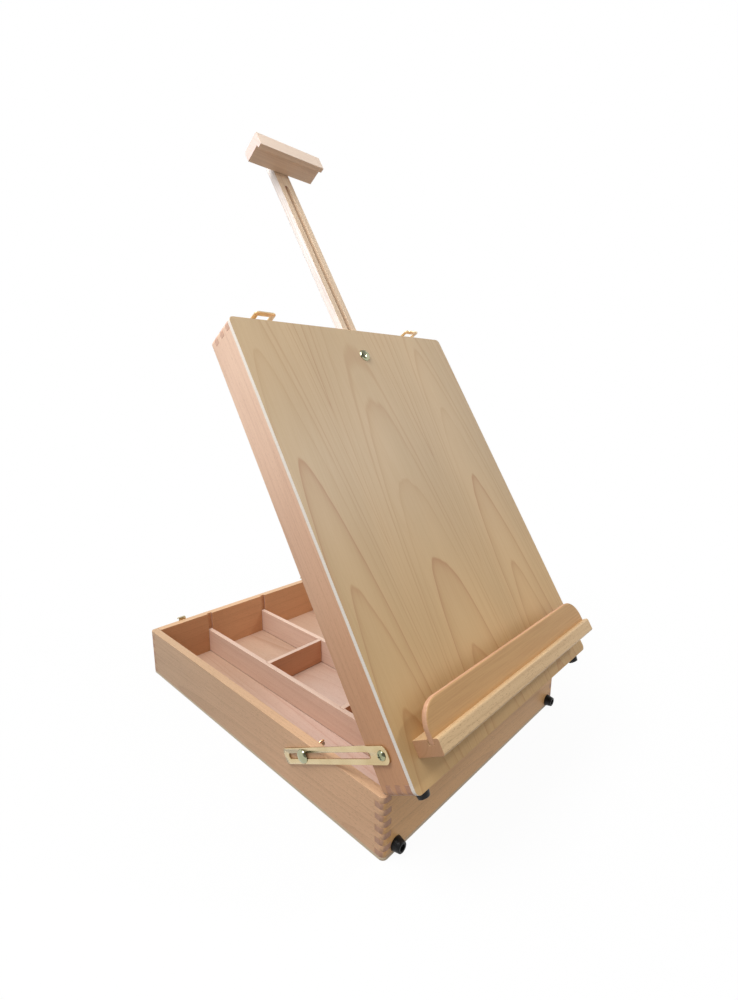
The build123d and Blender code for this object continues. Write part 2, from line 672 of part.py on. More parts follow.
with BuildPart() as stay_studs:
    stud_places = [
        Plane(origin=(side * half_w, stay_bolt_y, stay_bolt_z), z_dir=(side, 0, 0)) for side, _ in SIDES
    ]
    top_cylinder(stud_places, BOLT_R, WALL + STAY_STUD_INSIDE)
stay_studs.part.label = "stay_studs"
export_step(stay_studs.part, "parts/stay_studs.step")

with BuildPart() as stay_washers:
    for side, side_name in SIDES:
        inner_face = Plane(
            origin=(side * (half_w - WALL), stay_bolt_y, stay_bolt_z), z_dir=(-side, 0, 0)
        )
        with BuildSketch(inner_face):
            Circle(WASHER_R)
            Circle(BOLT_R + SCREW_CLEAR, mode=Mode.SUBTRACT)
        extrude(amount=WASHER_T)
stay_washers.part.label = "stay_washers"
export_step(stay_washers.part, "parts/stay_washers.step")

with BuildPart() as stay_pivot_screws:
    head_places = [place.offset(stay_outer_x + SLIDE_GAP - half_w) for place in pivot_places]
    domes(head_places, PIVOT_SCREW_HEAD_R, PIVOT_SCREW_HEAD_TALL)
    shank_length = stay_outer_x + SLIDE_GAP - half_w + PIVOT_SCREW_IN_WOOD
    top_cylinder(head_places, PIVOT_SCREW_R, shank_length)
stay_pivot_screws.part.label = "stay_pivot_screws"
export_step(stay_pivot_screws.part, "parts/stay_pivot_screws.step")

# Hinges: leaves let into the wood, knuckles and pins along the front edge
knuckle_length = HINGE_LENGTH / KNUCKLE_COUNT
knuckle_steps = [(i - (KNUCKLE_COUNT - 1) / 2) * knuckle_length for i in range(KNUCKLE_COUNT)]


def hinge_leaves(leaf_plane, steps, axis_places):
    """Leaf plates on a plane whose y runs inwards from the edge, and their knuckles."""
    hinge_xs = [side * hinge_x for side, _ in SIDES]
    with BuildSketch(leaf_plane) as leaves:
        with Locations(*[(x, HINGE_LEAF_WIDE / 2) for x in hinge_xs]):
            Rectangle(HINGE_LENGTH, HINGE_LEAF_WIDE)
        with Locations(*[(x + step, 0) for x in hinge_xs for step in steps]):
            Rectangle(knuckle_length - KNUCKLE_GAP, 2 * HINGE_AXIS_OUT)
    extrude(leaves.sketch, amount=-HINGE_LEAF_T)
    with Locations(*axis_places):
        Cylinder(KNUCKLE_R, knuckle_length - KNUCKLE_GAP)
        Cylinder(HINGE_PIN_R + SHAFT_CLEAR, knuckle_length, mode=Mode.SUBTRACT)


def knuckle_places(steps):
    """Planes at the knuckles' middles, along the hinge axis."""
    return [
        Plane(origin=(side * hinge_x + step, hinge_y, hinge_z), z_dir=(1, 0, 0))
        for side, _ in SIDES
        for step in steps
    ]


base_leaf_plane = Plane(origin=(0, -half_d, BASE_HEIGHT), x_dir=(1, 0, 0), z_dir=(0, 0, 1))
with BuildPart() as hinge_leaves_base:
    hinge_leaves(base_leaf_plane, knuckle_steps[0::2], knuckle_places(knuckle_steps[0::2]))
    countersunk_screws(base_hinge_screw_places, SCREW_LENGTH, SCREW_CLEAR, Mode.SUBTRACT)
hinge_leaves_base.part.label = "hinge_leaves_base"
export_step(hinge_leaves_base.part, "parts/hinge_leaves_base.step")

lid_leaf_plane = Plane(
    origin=lid_point(0, 0, 0), x_dir=(-1, 0, 0), z_dir=(0, open_sin, -open_cos)
)
with BuildPart() as hinge_leaves_lid:
    hinge_leaves(lid_leaf_plane, knuckle_steps[1::2], knuckle_places(knuckle_steps[1::2]))
    countersunk_screws(lid_hinge_screw_places, SCREW_LENGTH, SCREW_CLEAR, Mode.SUBTRACT)
hinge_leaves_lid.part.label = "hinge_leaves_lid"
export_step(hinge_leaves_lid.part, "parts/hinge_leaves_lid.step")

with BuildPart() as hinge_pins:
    with Locations(*[Plane(origin=(side * hinge_x, hinge_y, hinge_z), z_dir=(1, 0, 0)) for side, _ in SIDES]):
        Cylinder(HINGE_PIN_R, HINGE_LENGTH)
hinge_pins.part.label = "hinge_pins"
export_step(hinge_pins.part, "parts/hinge_pins.step")

with BuildPart() as hinge_screws_base:
    countersunk_screws(base_hinge_screw_places, SCREW_LENGTH)
hinge_screws_base.part.label = "hinge_screws_base"
export_step(hinge_screws_base.part, "parts/hinge_screws_base.step")

with BuildPart() as hinge_screws_lid:
    countersunk_screws(lid_hinge_screw_places, SCREW_LENGTH)
hinge_screws_lid.part.label = "hinge_screws_lid"
export_step(hinge_screws_lid.part, "parts/hinge_screws_lid.step")


# Rubber feet with a recessed screw each
def rubber_feet(places):
    """Tapered feet standing on the given planes, recessed and bored for a screw."""
    with Locations(*places):
        Cone(FOOT_BASE_R, FOOT_TIP_R, FOOT_TALL, align=(Align.CENTER, Align.CENTER, Align.MIN))
    tips = [place.offset(FOOT_TALL) for place in places]
    top_cylinder(tips, FOOT_RECESS_R, FOOT_RECESS_DEEP, Mode.SUBTRACT)
    top_cylinder(tips, FOOT_SCREW_R + SCREW_CLEAR, FOOT_TALL, Mode.SUBTRACT)


def foot_screws(places):
    """Pan-head screws in the feet, heads on the recess floors."""
    seats = [place.offset(FOOT_TALL - FOOT_RECESS_DEEP) for place in places]
    with Locations(*seats):
        Cylinder(
            FOOT_SCREW_HEAD_R, FOOT_SCREW_HEAD_TALL, align=(Align.CENTER, Align.CENTER, Align.MIN)
        )
    top_cylinder(seats, FOOT_SCREW_R, FOOT_TALL - FOOT_RECESS_DEEP + FOOT_SCREW_IN_WOOD)


for places, owner in ((foot_base_places, "base"), (foot_lid_places, "lid")):
    with BuildPart() as feet:
        rubber_feet(places)
    feet.part.label = f"{owner}_feet"
    export_step(feet.part, f"parts/{owner}_feet.step")
    with BuildPart() as feet_screws:
        foot_screws(places)
    feet_screws.part.label = f"{owner}_feet_screws"
    export_step(feet_screws.part, f"parts/{owner}_feet_screws.step")

# Toggle latches: plate on the lid, cranked lever, hooking bail, strike on the base
latch_pivot_u = BOX_DEPTH + LATCH_PIVOT_OUT
lever_dir_u, lever_dir_n = sin(radians(LEVER_OPEN)), cos(radians(LEVER_OPEN))
crank_u = latch_pivot_u + LEVER_CRANK * lever_dir_u
crank_n = LATCH_PIVOT_N + LEVER_CRANK * lever_dir_n
lever_ear_x = LATCH_EAR_X + LATCH_EAR_T + FACE_GAP
lever_half = lever_ear_x + LATCH_EAR_T

with BuildPart() as latch_plates:
    with BuildSketch(lid_spot(0, BOX_DEPTH, 0, (0, 1, 0))) as plate_face:
        for side, side_name in SIDES:
            with Locations((side * latch_x, -(LATCH_PLATE_LOW_N + LATCH_PLATE_TALL / 2))):
                RectangleRounded(LATCH_WIDTH, LATCH_PLATE_TALL, PLATE_CORNER_R)
    extrude(amount=LATCH_PLATE_T)
    for side, side_name in SIDES:
        for end in (-1, 1):
            ear_x = side * latch_x + end * (LATCH_EAR_X + LATCH_EAR_T / 2)
            with BuildSketch(lid_spot(ear_x, latch_pivot_u, LATCH_PIVOT_N, (1, 0, 0), lid_plane.y_dir)):
                Circle(LATCH_EAR_R)
                with Locations((-LATCH_PIVOT_OUT / 2, 0)):
                    Rectangle(LATCH_PIVOT_OUT, 2 * LATCH_EAR_R)
                Circle(LATCH_PIN_R + SCREW_CLEAR, mode=Mode.SUBTRACT)
            extrude(amount=LATCH_EAR_T / 2, both=True)
    countersunk_screws(latch_screw_places, SCREW_LENGTH, SCREW_CLEAR, Mode.SUBTRACT)
latch_plates.part.label = "latch_plates"
export_step(latch_plates.part, "parts/latch_plates.step")

with BuildPart() as latch_plate_screws:
    countersunk_screws(latch_screw_places, SCREW_LENGTH)
latch_plate_screws.part.label = "latch_plate_screws"
export_step(latch_plate_screws.part, "parts/latch_plate_screws.step")

with BuildPart() as latch_pins:
    with Locations(
        *[
            lid_spot(side * latch_x, latch_pivot_u, LATCH_PIVOT_N, (1, 0, 0), lid_plane.y_dir)
            for side, _ in SIDES
        ]
    ):
        Cylinder(LATCH_PIN_R, 2 * lever_half)
latch_pins.part.label = "latch_pins"
export_step(latch_pins.part, "parts/latch_pins.step")

for side, side_name in SIDES:
    lever_plane = lid_spot(
        side * latch_x,
        latch_pivot_u,
        LATCH_PIVOT_N,
        (-1, 0, 0),
        lid_plane.y_dir * lever_dir_u + lid_plane.z_dir * lever_dir_n,
    )
    with BuildPart() as latch_lever:
        with BuildSketch(lever_plane):
            with BuildLine():
                low = LEVER_PLATE_OUT
                high = LEVER_PLATE_OUT + LEVER_PLATE_T
                thumb = LEVER_LENGTH - 4
                Polyline((thumb, low), (-LEVER_HEEL, low), (-LEVER_HEEL, high), (thumb, high))
                ThreePointArc((thumb, low), (thumb + 2.4, low + 0.5), (LEVER_LENGTH, low + 2))
                ThreePointArc((thumb, high), (thumb + 2.1, high + 0.4), (LEVER_LENGTH - 0.8, high + 1.8))
                Line((LEVER_LENGTH, low + 2), (LEVER_LENGTH - 0.8, high + 1.8))
            make_face()
        extrude(amount=lever_half, both=True)
        for end in (-1, 1):
            ear_middle = lever_ear_x + LATCH_EAR_T / 2
            with BuildSketch(lever_plane.offset(end * ear_middle)):
                with BuildLine():
                    Polyline(
                        (0, -LATCH_EAR_R),
                        (LEVER_CRANK, -LATCH_EAR_R),
                        (LEVER_CRANK + LATCH_EAR_R, 0),
                        (LEVER_CRANK + LATCH_EAR_R, low),
                        (-LEVER_HEEL, low),
                        (-LATCH_EAR_R, 0),
                        close=True,
                    )
                make_face()
                Circle(LATCH_PIN_R + SHAFT_CLEAR, mode=Mode.SUBTRACT)
                with Locations((LEVER_CRANK, 0)):
                    Circle(LATCH_PIN_R + SCREW_CLEAR, mode=Mode.SUBTRACT)
            extrude(amount=LATCH_EAR_T / 2, both=True)
    latch_lever.part.label = f"latch_lever_{side_name}"
    export_step(latch_lever.part, f"parts/latch_lever_{side_name}.step")

    crank_place = lid_spot(side * latch_x, crank_u, crank_n, (1, 0, 0), lid_plane.y_dir)
    with BuildPart() as latch_crank_pin:
        with Locations(crank_place):
            Cylinder(LATCH_PIN_R, LATCH_WIDTH)
    latch_crank_pin.part.label = f"latch_crank_pin_{side_name}"
    export_step(latch_crank_pin.part, f"parts/latch_crank_pin_{side_name}.step")

    strap = (LATCH_WIDTH - BAIL_WINDOW) / 2
    with BuildPart() as latch_bail:
        with BuildSketch(lid_spot(side * latch_x, crank_u - BAIL_T / 2, crank_n, (0, 1, 0))) as bail_face:
            with Locations((0, -(BAIL_REACH + BAIL_BAR) / 2)):
                Rectangle(LATCH_WIDTH, BAIL_REACH + BAIL_BAR)
            fillet(bail_face.vertices().group_by(Axis.Y)[0], radius=BAIL_CORNER_R)
            with Locations((0, -BAIL_REACH / 2)):
                Rectangle(BAIL_WINDOW, BAIL_REACH, mode=Mode.SUBTRACT)
        extrude(amount=BAIL_T)
        straps = [crank_place.offset(end * (LATCH_WIDTH - strap) / 2) for end in (-1, 1)]
        with Locations(*straps):
            Cylinder(BAIL_KNUCKLE_R, strap)
        with Locations(crank_place):
            Cylinder(LATCH_PIN_R + SHAFT_CLEAR, 2 * LATCH_WIDTH, mode=Mode.SUBTRACT)
    latch_bail.part.label = f"latch_bail_{side_name}"
    export_step(latch_bail.part, f"parts/latch_bail_{side_name}.step")

with BuildPart() as latch_strikes:
    for side, side_name in SIDES:
        with BuildSketch(Plane(origin=(side * latch_x, half_d, 0), x_dir=(1, 0, 0), z_dir=(0, 1, 0))):
            with Locations((0, -strike_middle_z)):
                RectangleRounded(LATCH_WIDTH, STRIKE_TALL, PLATE_CORNER_R)
        extrude(amount=LATCH_PLATE_T)
        tongue_side = Plane(
            origin=(side * latch_x, half_d, BASE_HEIGHT), x_dir=(0, 1, 0), z_dir=(1, 0, 0)
        )
        with BuildSketch(tongue_side):
            with BuildLine() as bend:
                FilletPolyline(
                    (0.9 * TONGUE_T, -TONGUE_ROOT_DOWN),
                    (1.2 * TONGUE_T, HOOK_UP),
                    (HOOK_OUT - 1.5 * TONGUE_T, HOOK_UP),
                    (HOOK_OUT, HOOK_TIP_UP),
                    radius=TONGUE_BEND_R,
                )
            trace(line_width=TONGUE_T)
        extrude(amount=TONGUE_WIDTH / 2, both=True)
    countersunk_screws(strike_screw_places, SCREW_LENGTH, SCREW_CLEAR, Mode.SUBTRACT)
latch_strikes.part.label = "latch_strikes"
export_step(latch_strikes.part, "parts/latch_strikes.step")

with BuildPart() as latch_strike_screws:
    countersunk_screws(strike_screw_places, SCREW_LENGTH)
latch_strike_screws.part.label = "latch_strike_screws"
export_step(latch_strike_screws.part, "parts/latch_strike_screws.step")

# Carrying handle: a wire bail hanging in two bossed brackets
handle_y = half_d + HANDLE_OUT
with BuildPart() as handle_brackets:
    for side, side_name in SIDES:
        bracket_plane = Plane(origin=(side * bracket_x, half_d, handle_z), x_dir=(1, 0, 0), z_dir=(0, 1, 0))
        with BuildSketch(bracket_plane):
            RectangleRounded(BRACKET_WIDTH, BRACKET_TALL, PLATE_CORNER_R)
        extrude(amount=BRACKET_T)
        boss_plane = Plane(origin=(side * bracket_x, handle_y, handle_z), x_dir=(0, 1, 0), z_dir=(1, 0, 0))
        with BuildSketch(boss_plane):
            Circle(BOSS_R)
            with Locations((-HANDLE_OUT / 2, 0)):
                Rectangle(HANDLE_OUT, 2 * BOSS_R)
            Circle(HANDLE_WIRE_R + SHAFT_CLEAR, mode=Mode.SUBTRACT)
        extrude(amount=BRACKET_WIDTH / 2, both=True)
    countersunk_screws(bracket_screw_places, SCREW_LENGTH, SCREW_CLEAR, Mode.SUBTRACT)
handle_brackets.part.label = "handle_brackets"
export_step(handle_brackets.part, "parts/handle_brackets.step")

with BuildPart() as handle_bracket_screws:
    countersunk_screws(bracket_screw_places, SCREW_LENGTH)
handle_bracket_screws.part.label = "handle_bracket_screws"
export_step(handle_bracket_screws.part, "parts/handle_bracket_screws.step")

with BuildPart() as carry_handle:
    pin_tip = HANDLE_WIDTH / 2 - HANDLE_PIN_IN
    with BuildLine(Plane(origin=(0, handle_y, handle_z), x_dir=(1, 0, 0), z_dir=(0, -1, 0))) as wire:
        FilletPolyline(
            (-pin_tip, 0),
            (-HANDLE_WIDTH / 2, 0),
            (-HANDLE_WIDTH / 2, -HANDLE_DROP),
            (HANDLE_WIDTH / 2, -HANDLE_DROP),
            (HANDLE_WIDTH / 2, 0),
            (pin_tip, 0),
            radius=[HANDLE_END_R, HANDLE_CORNER_R, HANDLE_CORNER_R, HANDLE_END_R],
        )
    with BuildSketch(Plane(origin=wire.line @ 0, z_dir=wire.line % 0)):
        RegularPolygon(HANDLE_WIRE_R, HANDLE_WIRE_SIDES)
    sweep()
carry_handle.part.label = "carry_handle"
export_step(carry_handle.part, "parts/carry_handle.step")

print("stay angle", round(degrees(stay_angle), 2), "bolt distance", round(bolt_distance, 2))
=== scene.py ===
"""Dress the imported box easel: beech and plywood, plated fittings, rubber feet, white studio."""
from __future__ import annotations

import json
import logging
import math
from dataclasses import dataclass, replace
from enum import Enum
from math import cos, sin
from typing import Optional, Sequence, Union

import bmesh
import bpy
from bpy.types import ID, Material, Mesh, Node, Object
from bpy.types import NodeOutputs as Sockets, NodeSocket as Socket, NodeTree as Tree
from mathutils import Euler, Matrix, Vector


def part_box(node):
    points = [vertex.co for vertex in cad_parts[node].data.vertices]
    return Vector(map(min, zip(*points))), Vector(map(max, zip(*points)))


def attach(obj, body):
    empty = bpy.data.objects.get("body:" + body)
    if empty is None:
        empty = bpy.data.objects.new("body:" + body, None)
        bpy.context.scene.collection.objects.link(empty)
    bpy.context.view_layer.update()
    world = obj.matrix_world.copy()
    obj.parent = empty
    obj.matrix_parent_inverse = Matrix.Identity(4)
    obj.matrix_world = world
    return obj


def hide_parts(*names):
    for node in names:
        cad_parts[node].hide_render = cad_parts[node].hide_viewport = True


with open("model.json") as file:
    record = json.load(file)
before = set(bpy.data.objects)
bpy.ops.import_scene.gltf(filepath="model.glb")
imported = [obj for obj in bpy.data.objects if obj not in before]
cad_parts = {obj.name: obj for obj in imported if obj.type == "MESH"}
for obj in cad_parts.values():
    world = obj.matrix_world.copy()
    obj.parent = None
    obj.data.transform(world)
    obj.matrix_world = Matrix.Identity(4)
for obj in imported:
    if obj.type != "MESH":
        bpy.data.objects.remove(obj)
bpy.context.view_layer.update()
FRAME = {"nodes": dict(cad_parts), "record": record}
LOG = logging.getLogger("box_easel")
MM = 0.001
SAME_PLACE = 0.001 * MM
SAME_FACE = math.radians(0.6)

BASE = Matrix.Identity(4)
X, Y, Z = Vector((1, 0, 0)), Vector((0, 1, 0)), Vector((0, 0, 1))

Pair = tuple[float, float]
Triple = tuple[float, float, float]
Colour = tuple[float, float, float, float]
Ramp = tuple[float, float, float, float]
Seat = tuple[Vector, Vector]
Wire = Union[Socket, float, str, Sequence[float]]
Feeds = Optional[dict[Union[int, str], Wire]]


def tint(red: int, green: int, blue: int) -> Colour:
    """Turn a paint-chart colour of 0 to 255 into the renderer's linear one.

    Args:
        red: How much red.
        green: How much green.
        blue: How much blue.

    Returns:
        The linear colour with full alpha.
    """
    linear = [
        part / 12.92 if part <= 0.04045 else ((part + 0.055) / 1.055) ** 2.4
        for part in (red / 255, green / 255, blue / 255)
    ]
    return (*linear, 1.0)


@dataclass(frozen=True)
class LidFrame:
    """The opened lid: x across, u up the board, n out of the board's face."""

    angle: float = math.radians(58)
    hinge_y: float = -212.5 * MM
    hinge_z: float = 60.2 * MM
    axis_out: float = 2.5 * MM
    axis_up: float = 0.2 * MM

    def matrix(self) -> Matrix:
        """Return the matrix that takes lid coordinates to the row frame."""
        turn = Matrix.Rotation(self.angle, 4, "X")
        offset = turn @ Vector((0, self.axis_out, self.axis_up))
        place = Vector((0, self.hinge_y, self.hinge_z)) + offset
        return Matrix.Translation(place) @ turn


LID = LidFrame().matrix()


class Grain(Enum):
    """Which way the grain of a piece runs, as (frame, along, across)."""

    WALL_X = (BASE, X, Z)
    BASE_Y = (BASE, Y, X)
    WALL_Y = (BASE, Y, Z)
    LID_X = (LID, X, Y)
    RAIL_X = (LID, X, Z)
    LID_U = (LID, Y, X)
    RAIL_U = (LID, Y, Z)

    def board_matrix(self, centre: Vector, tilt: float) -> Matrix:
        """Return the matrix from row coordinates to the board's own.

        Args:
            centre: A point of the piece, which becomes the board's origin.
            tilt: How far the log lay out of line with the board, in radians.

        Returns:
            A matrix whose first axis runs along the grain.
        """
        frame, along, across = self.value
        turn = frame.to_3x3()
        first, second = turn @ along, turn @ across
        axes = Matrix((first, second, first.cross(second)))
        leaned = Matrix.Rotation(tilt, 3, "Y") @ axes
        return leaned.to_4x4() @ Matrix.Translation(-centre)


class Graph:
    """A node tree being wired, with short calls for the nodes used most."""

    def __init__(self, tree: Tree) -> None:
        """Start wiring the given tree."""
        self.tree = tree

    def feed(self, socket: Socket, value: Wire) -> None:
        """Link a socket to another one, or set its own value."""
        if isinstance(value, Socket):
            self.tree.links.new(value, socket)
        else:
            socket.default_value = value

    def node(self, kind: str, feeds: Feeds = None, **settings: object) -> Node:
        """Add a node of a kind, set its properties and feed its inputs."""
        made = self.tree.nodes.new(kind)
        for name, value in settings.items():
            setattr(made, name, value)
        for slot, value in (feeds or {}).items():
            self.feed(made.inputs[slot], value)
        return made

    def out(self, kind: str, feeds: Feeds = None, **settings: object) -> Socket:
        """Add a node in the same way and return its first output."""
        return self.node(kind, feeds, **settings).outputs[0]

    def math(self, operation: str, first: Wire, *others: Wire) -> Socket:
        """Wire Math nodes that take in one value after another, and return the result."""
        for other in others or (0.0,):
            first = self.out("ShaderNodeMath", {0: first, 1: other}, operation=operation)
        return first

    def times(self, *values: Wire) -> Socket:
        """Wire a product and return it."""
        return self.math("MULTIPLY", *values)

    def plus(self, *values: Wire) -> Socket:
        """Wire a sum and return it."""
        return self.math("ADD", *values)

    def vector(self, operation: str, first: Wire, second: Wire) -> Socket:
        """Wire a Vector Math node and return its vector."""
        feeds = {0: first, 1: second}
        return self.out("ShaderNodeVectorMath", feeds, operation=operation)

    def split(self, value: Wire) -> Sequence[Socket]:
        """Take a vector apart and return its three numbers."""
        return self.node("ShaderNodeSeparateXYZ", {0: value}).outputs

    def combine(self, *parts: Wire) -> Socket:
        """Put three numbers together and return the vector."""
        return self.out("ShaderNodeCombineXYZ", dict(enumerate(parts)))

    def ramp(
        self, value: Wire, low: Wire, high: Wire, first: float = 0.0, last: float = 1.0
    ) -> Socket:
        """Ease a value from one range to another and return it.

        Args:
            value: The value to ease.
            low: Where the result starts to leave first.
            high: Where the result reaches last.
            first: The result at and below low.
            last: The result at and above high.

        Returns:
            The eased value's socket.
        """
        feeds = dict(enumerate((value, low, high, first, last)))
        return self.out("ShaderNodeMapRange", feeds, interpolation_type="SMOOTHSTEP")

    def mix(self, share: Wire, first: Wire, second: Wire, blend: str = "MIX") -> Socket:
        """Mix two colours by a share and return the colour."""
        feeds = {0: share, 6: first, 7: second}
        return self.node("ShaderNodeMix", feeds, data_type="RGBA", blend_type=blend).outputs[2]

    def noise(self, place: Wire, scale: float, detail: float = 2.0) -> Socket:
        """Wire a noise texture and return its value, around one half."""
        feeds = {"Vector": place, "Scale": scale, "Detail": detail}
        return self.out("ShaderNodeTexNoise", feeds)


def new_group(name: str, inputs: dict[str, object]) -> Tree:
    """Make a shader node group that gives a colour, a roughness and a height.

    Args:
        name: The group's name.
        inputs: Socket names and their starting values.

    Returns:
        The new group's tree.
    """
    tree = bpy.data.node_groups.new(name, "ShaderNodeTree")
    kinds = {4: "Color", 3: "Vector", 0: "Float"}
    for label, value in inputs.items():
        kind = kinds[len(value) if isinstance(value, tuple) else 0]
        socket = tree.interface.new_socket(label, in_out="INPUT", socket_type="NodeSocket" + kind)
        socket.default_value = value
    for label, kind in (("Color", "Color"), ("Roughness", "Float"), ("Height", "Float")):
        tree.interface.new_socket(label, in_out="OUTPUT", socket_type="NodeSocket" + kind)
    return tree


PLAIN: Colour = (0.6, 0.4, 0.25, 1.0)
WOOD_LENGTHS = (
    "ring_spacing", "wobble", "pith_across", "pith_below", "side_from", "leaf", "low_from",
    "low_to",
)
WOOD_AMOUNTS = (
    "contrast", "sharpness", "flecks", "fibres", "side", "plies", "foot_line", "foot_at", "seed",
)
WOOD_INPUTS: dict[str, object] = {"position": (0.0, 0.0, 0.0), "facing": (0.0, 0.0, 1.0)}
WOOD_INPUTS |= dict.fromkeys(("pale", "dark", "end", "edge", "low_tint"), PLAIN)
WOOD_INPUTS |= dict.fromkeys(WOOD_LENGTHS + WOOD_AMOUNTS, 1.0)
METAL_INPUTS: dict[str, object] = {
    "position": (0.0, 0.0, 0.0), "main": PLAIN, "drift": PLAIN, "polish": 0.25, "brushing": 0.3,
}


@dataclass
class SolidWood:
    """The wood shared by every board: rings about a pith, fibres, flecks, end grain, plies, and
    painted light and shade.

    Scales are per metre, the first of three along the grain. A bend is a noise's scale and
    detail. A reach is the two ends of a ramp, and a ramp adds what it gives at each.
    """

    seed_steps: Triple = (1.0, 1.7, 0.6)
    drawn_out: Triple = (0.1, 1.0, 1.0)
    broad_bend: Pair = (11.0, 1.0)
    narrow_bend: Pair = (70.0, 2.0)
    narrow_share: float = 0.05
    year_scale: float = 0.45
    year_swing: float = 1.8
    soft_power: float = 2.5
    soft_share: float = 0.2
    line_ramp: Ramp = (0.95, 1.0, 1.0, 0.0)
    faintest: float = 0.25
    strand_scales: Triple = (14.0, 700.0, 700.0)
    fibre_reach: Pair = (0.35, 0.75)
    dash_scales: Triple = (330.0, 2100.0, 2100.0)
    fleck_reach: Pair = (0.6, 0.72)
    fleck_share: float = 0.2
    fleck_brown: Colour = (0.1, 0.04, 0.02, 1.0)
    tone_scales: Triple = (4.0, 14.0, 14.0)
    tone_ramp: Ramp = (0.25, 0.75, 0.93, 1.05)
    pore_scales: Triple = (200.0, 2400.0, 2400.0)
    pore_ramp: Ramp = (0.45, 0.7, 0.0, 0.4)
    end_reach: Pair = (0.55, 0.9)
    side_ramp: Ramp = (0.4, 0.8, 1.0, 0.0)
    ply: float = 0.0013
    glue_rise: Pair = (0.42, 0.5)
    glue_fall: Ramp = (0.9, 1.0, 1.0, 0.0)
    glue_share: float = 0.22
    foot_ramp: Ramp = (0.0006, 0.0013, 1.0, 0.0)
    foot_brown: Colour = (0.12, 0.045, 0.025, 1.0)
    least_rough: float = 0.40
    strand_rough: float = 0.16
    end_rough: float = 0.18
    strand_rise: float = 0.5
    ring_fall: float = 0.3
    fleck_fall: float = 0.6

    def __post_init__(self) -> None:
        """Start the group, and find each point's place in the board."""
        self.tree = new_group("solid_wood", WOOD_INPUTS)
        self.graph = Graph(self.tree)
        self.wire = self.graph.node("NodeGroupInput").outputs
        self.spot = self.graph.split(self.wire["position"])
        steps = [self.graph.times(self.wire["seed"], step) for step in self.seed_steps]
        self.seeded = self.graph.vector("ADD", self.wire["position"], self.graph.combine(*steps))

    def streaks(self, scales: Triple, detail: float = 2.0) -> Socket:
        """Return a noise that is drawn out along the grain."""
        return self.graph.noise(self.graph.vector("MULTIPLY", self.seeded, scales), 1.0, detail)

    def ring_count(self) -> Socket:
        """Return how many rings lie between a point and the pith, unevenly spaced."""
        graph, wire = self.graph, self.wire
        drawn = graph.vector("MULTIPLY", self.seeded, self.drawn_out)
        broad = graph.plus(graph.noise(drawn, *self.broad_bend), -0.5)
        narrow = graph.plus(graph.noise(drawn, *self.narrow_bend), -0.5)
        drift = graph.plus(broad, graph.times(narrow, self.narrow_share))
        across = graph.plus(self.spot[1], wire["pith_across"])
        across = graph.math("PINGPONG", across, graph.times(wire["leaf"], 0.5))
        below = graph.plus(self.spot[2], wire["pith_below"])
        squares = [graph.times(side, side) for side in (across, below)]
        away = graph.math("SQRT", graph.plus(*squares))
        radius = graph.plus(away, graph.times(drift, wire["wobble"]))
        count = graph.math("DIVIDE", radius, wire["ring_spacing"])
        place = graph.plus(graph.times(count, self.year_scale), wire["seed"])
        feeds = {"W": place, "Scale": 1.0}
        years = graph.out("ShaderNodeTexNoise", feeds, noise_dimensions="1D")
        return graph.plus(count, graph.times(years, self.year_swing))

    def rings(self) -> Socket:
        """Return how dark the rings are: a thin late line with a soft shade before it."""
        graph, wire = self.graph, self.wire
        count = self.ring_count()
        within = graph.math("FRACT", count)
        thin = graph.times(graph.math("POWER", within, wire["sharpness"]), 1.0 - self.soft_share)
        soft = graph.times(graph.math("POWER", within, self.soft_power), self.soft_share)
        line = graph.times(graph.plus(thin, soft), graph.ramp(within, *self.line_ramp))
        feeds = {"W": graph.math("FLOOR", count)}
        pick = graph.out("ShaderNodeTexWhiteNoise", feeds, noise_dimensions="1D")
        strength = graph.plus(graph.times(pick, 1.0 - self.faintest), self.faintest)
        return graph.times(line, strength, wire["contrast"])

    def ground(self, sided: Socket) -> Socket:
        """Return the colour between the rings, with painted light on a board's outer side faces,
        which take the paler edge colour as if lit.
        """
        off_middle = self.graph.math("ABSOLUTE", self.spot[1])
        outer = self.graph.math("GREATER_THAN", off_middle, self.wire["side_from"])
        share = self.graph.times(sided, self.wire["side"], outer)
        return self.graph.mix(share, self.wire["pale"], self.wire["edge"])

    def toned(self, colour: Socket) -> Socket:
        """Return a colour with broad clouds, and with painted light and shade: tinted towards one
        end of the board, as the light falls off or bounces along it.
        """
        graph, wire = self.graph, self.wire
        lift = graph.ramp(self.streaks(self.tone_scales), *self.tone_ramp)
        colour = graph.mix(1.0, colour, graph.combine(lift, lift, lift), "MULTIPLY")
        painted_light_share = graph.ramp(self.spot[0], wire["low_from"], wire["low_to"])
        return graph.mix(painted_light_share, colour, graph.mix(1.0, colour, wire["low_tint"], "MULTIPLY"))

    def end_grain(self, rings: Socket) -> Socket:
        """Return the colour of faces across the grain, with open pores."""
        graph, wire = self.graph, self.wire
        pores = graph.ramp(self.streaks(self.pore_scales), *self.pore_ramp)
        return graph.mix(rings, graph.mix(pores, wire["end"], wire["dark"]), wire["dark"])

    def ply_edge(self) -> Socket:
        """Return the colour of a plywood edge, with its glue lines."""
        graph = self.graph
        layer = graph.math("FRACT", graph.math("DIVIDE", self.spot[2], self.ply))
        rise, fall = graph.ramp(layer, *self.glue_rise), graph.ramp(layer, *self.glue_fall)
        glue = graph.times(rise, fall, self.glue_share)
        return graph.mix(glue, self.wire["edge"], self.wire["dark"])

    def foot_line(self) -> Socket:
        """Return a painted crevice shade: a thin dark line where a board meets the floor that it
        stands on.
        """
        raised = self.graph.math("SUBTRACT", self.spot[1], self.wire["foot_at"])
        return self.graph.times(self.graph.ramp(raised, *self.foot_ramp), self.wire["foot_line"])

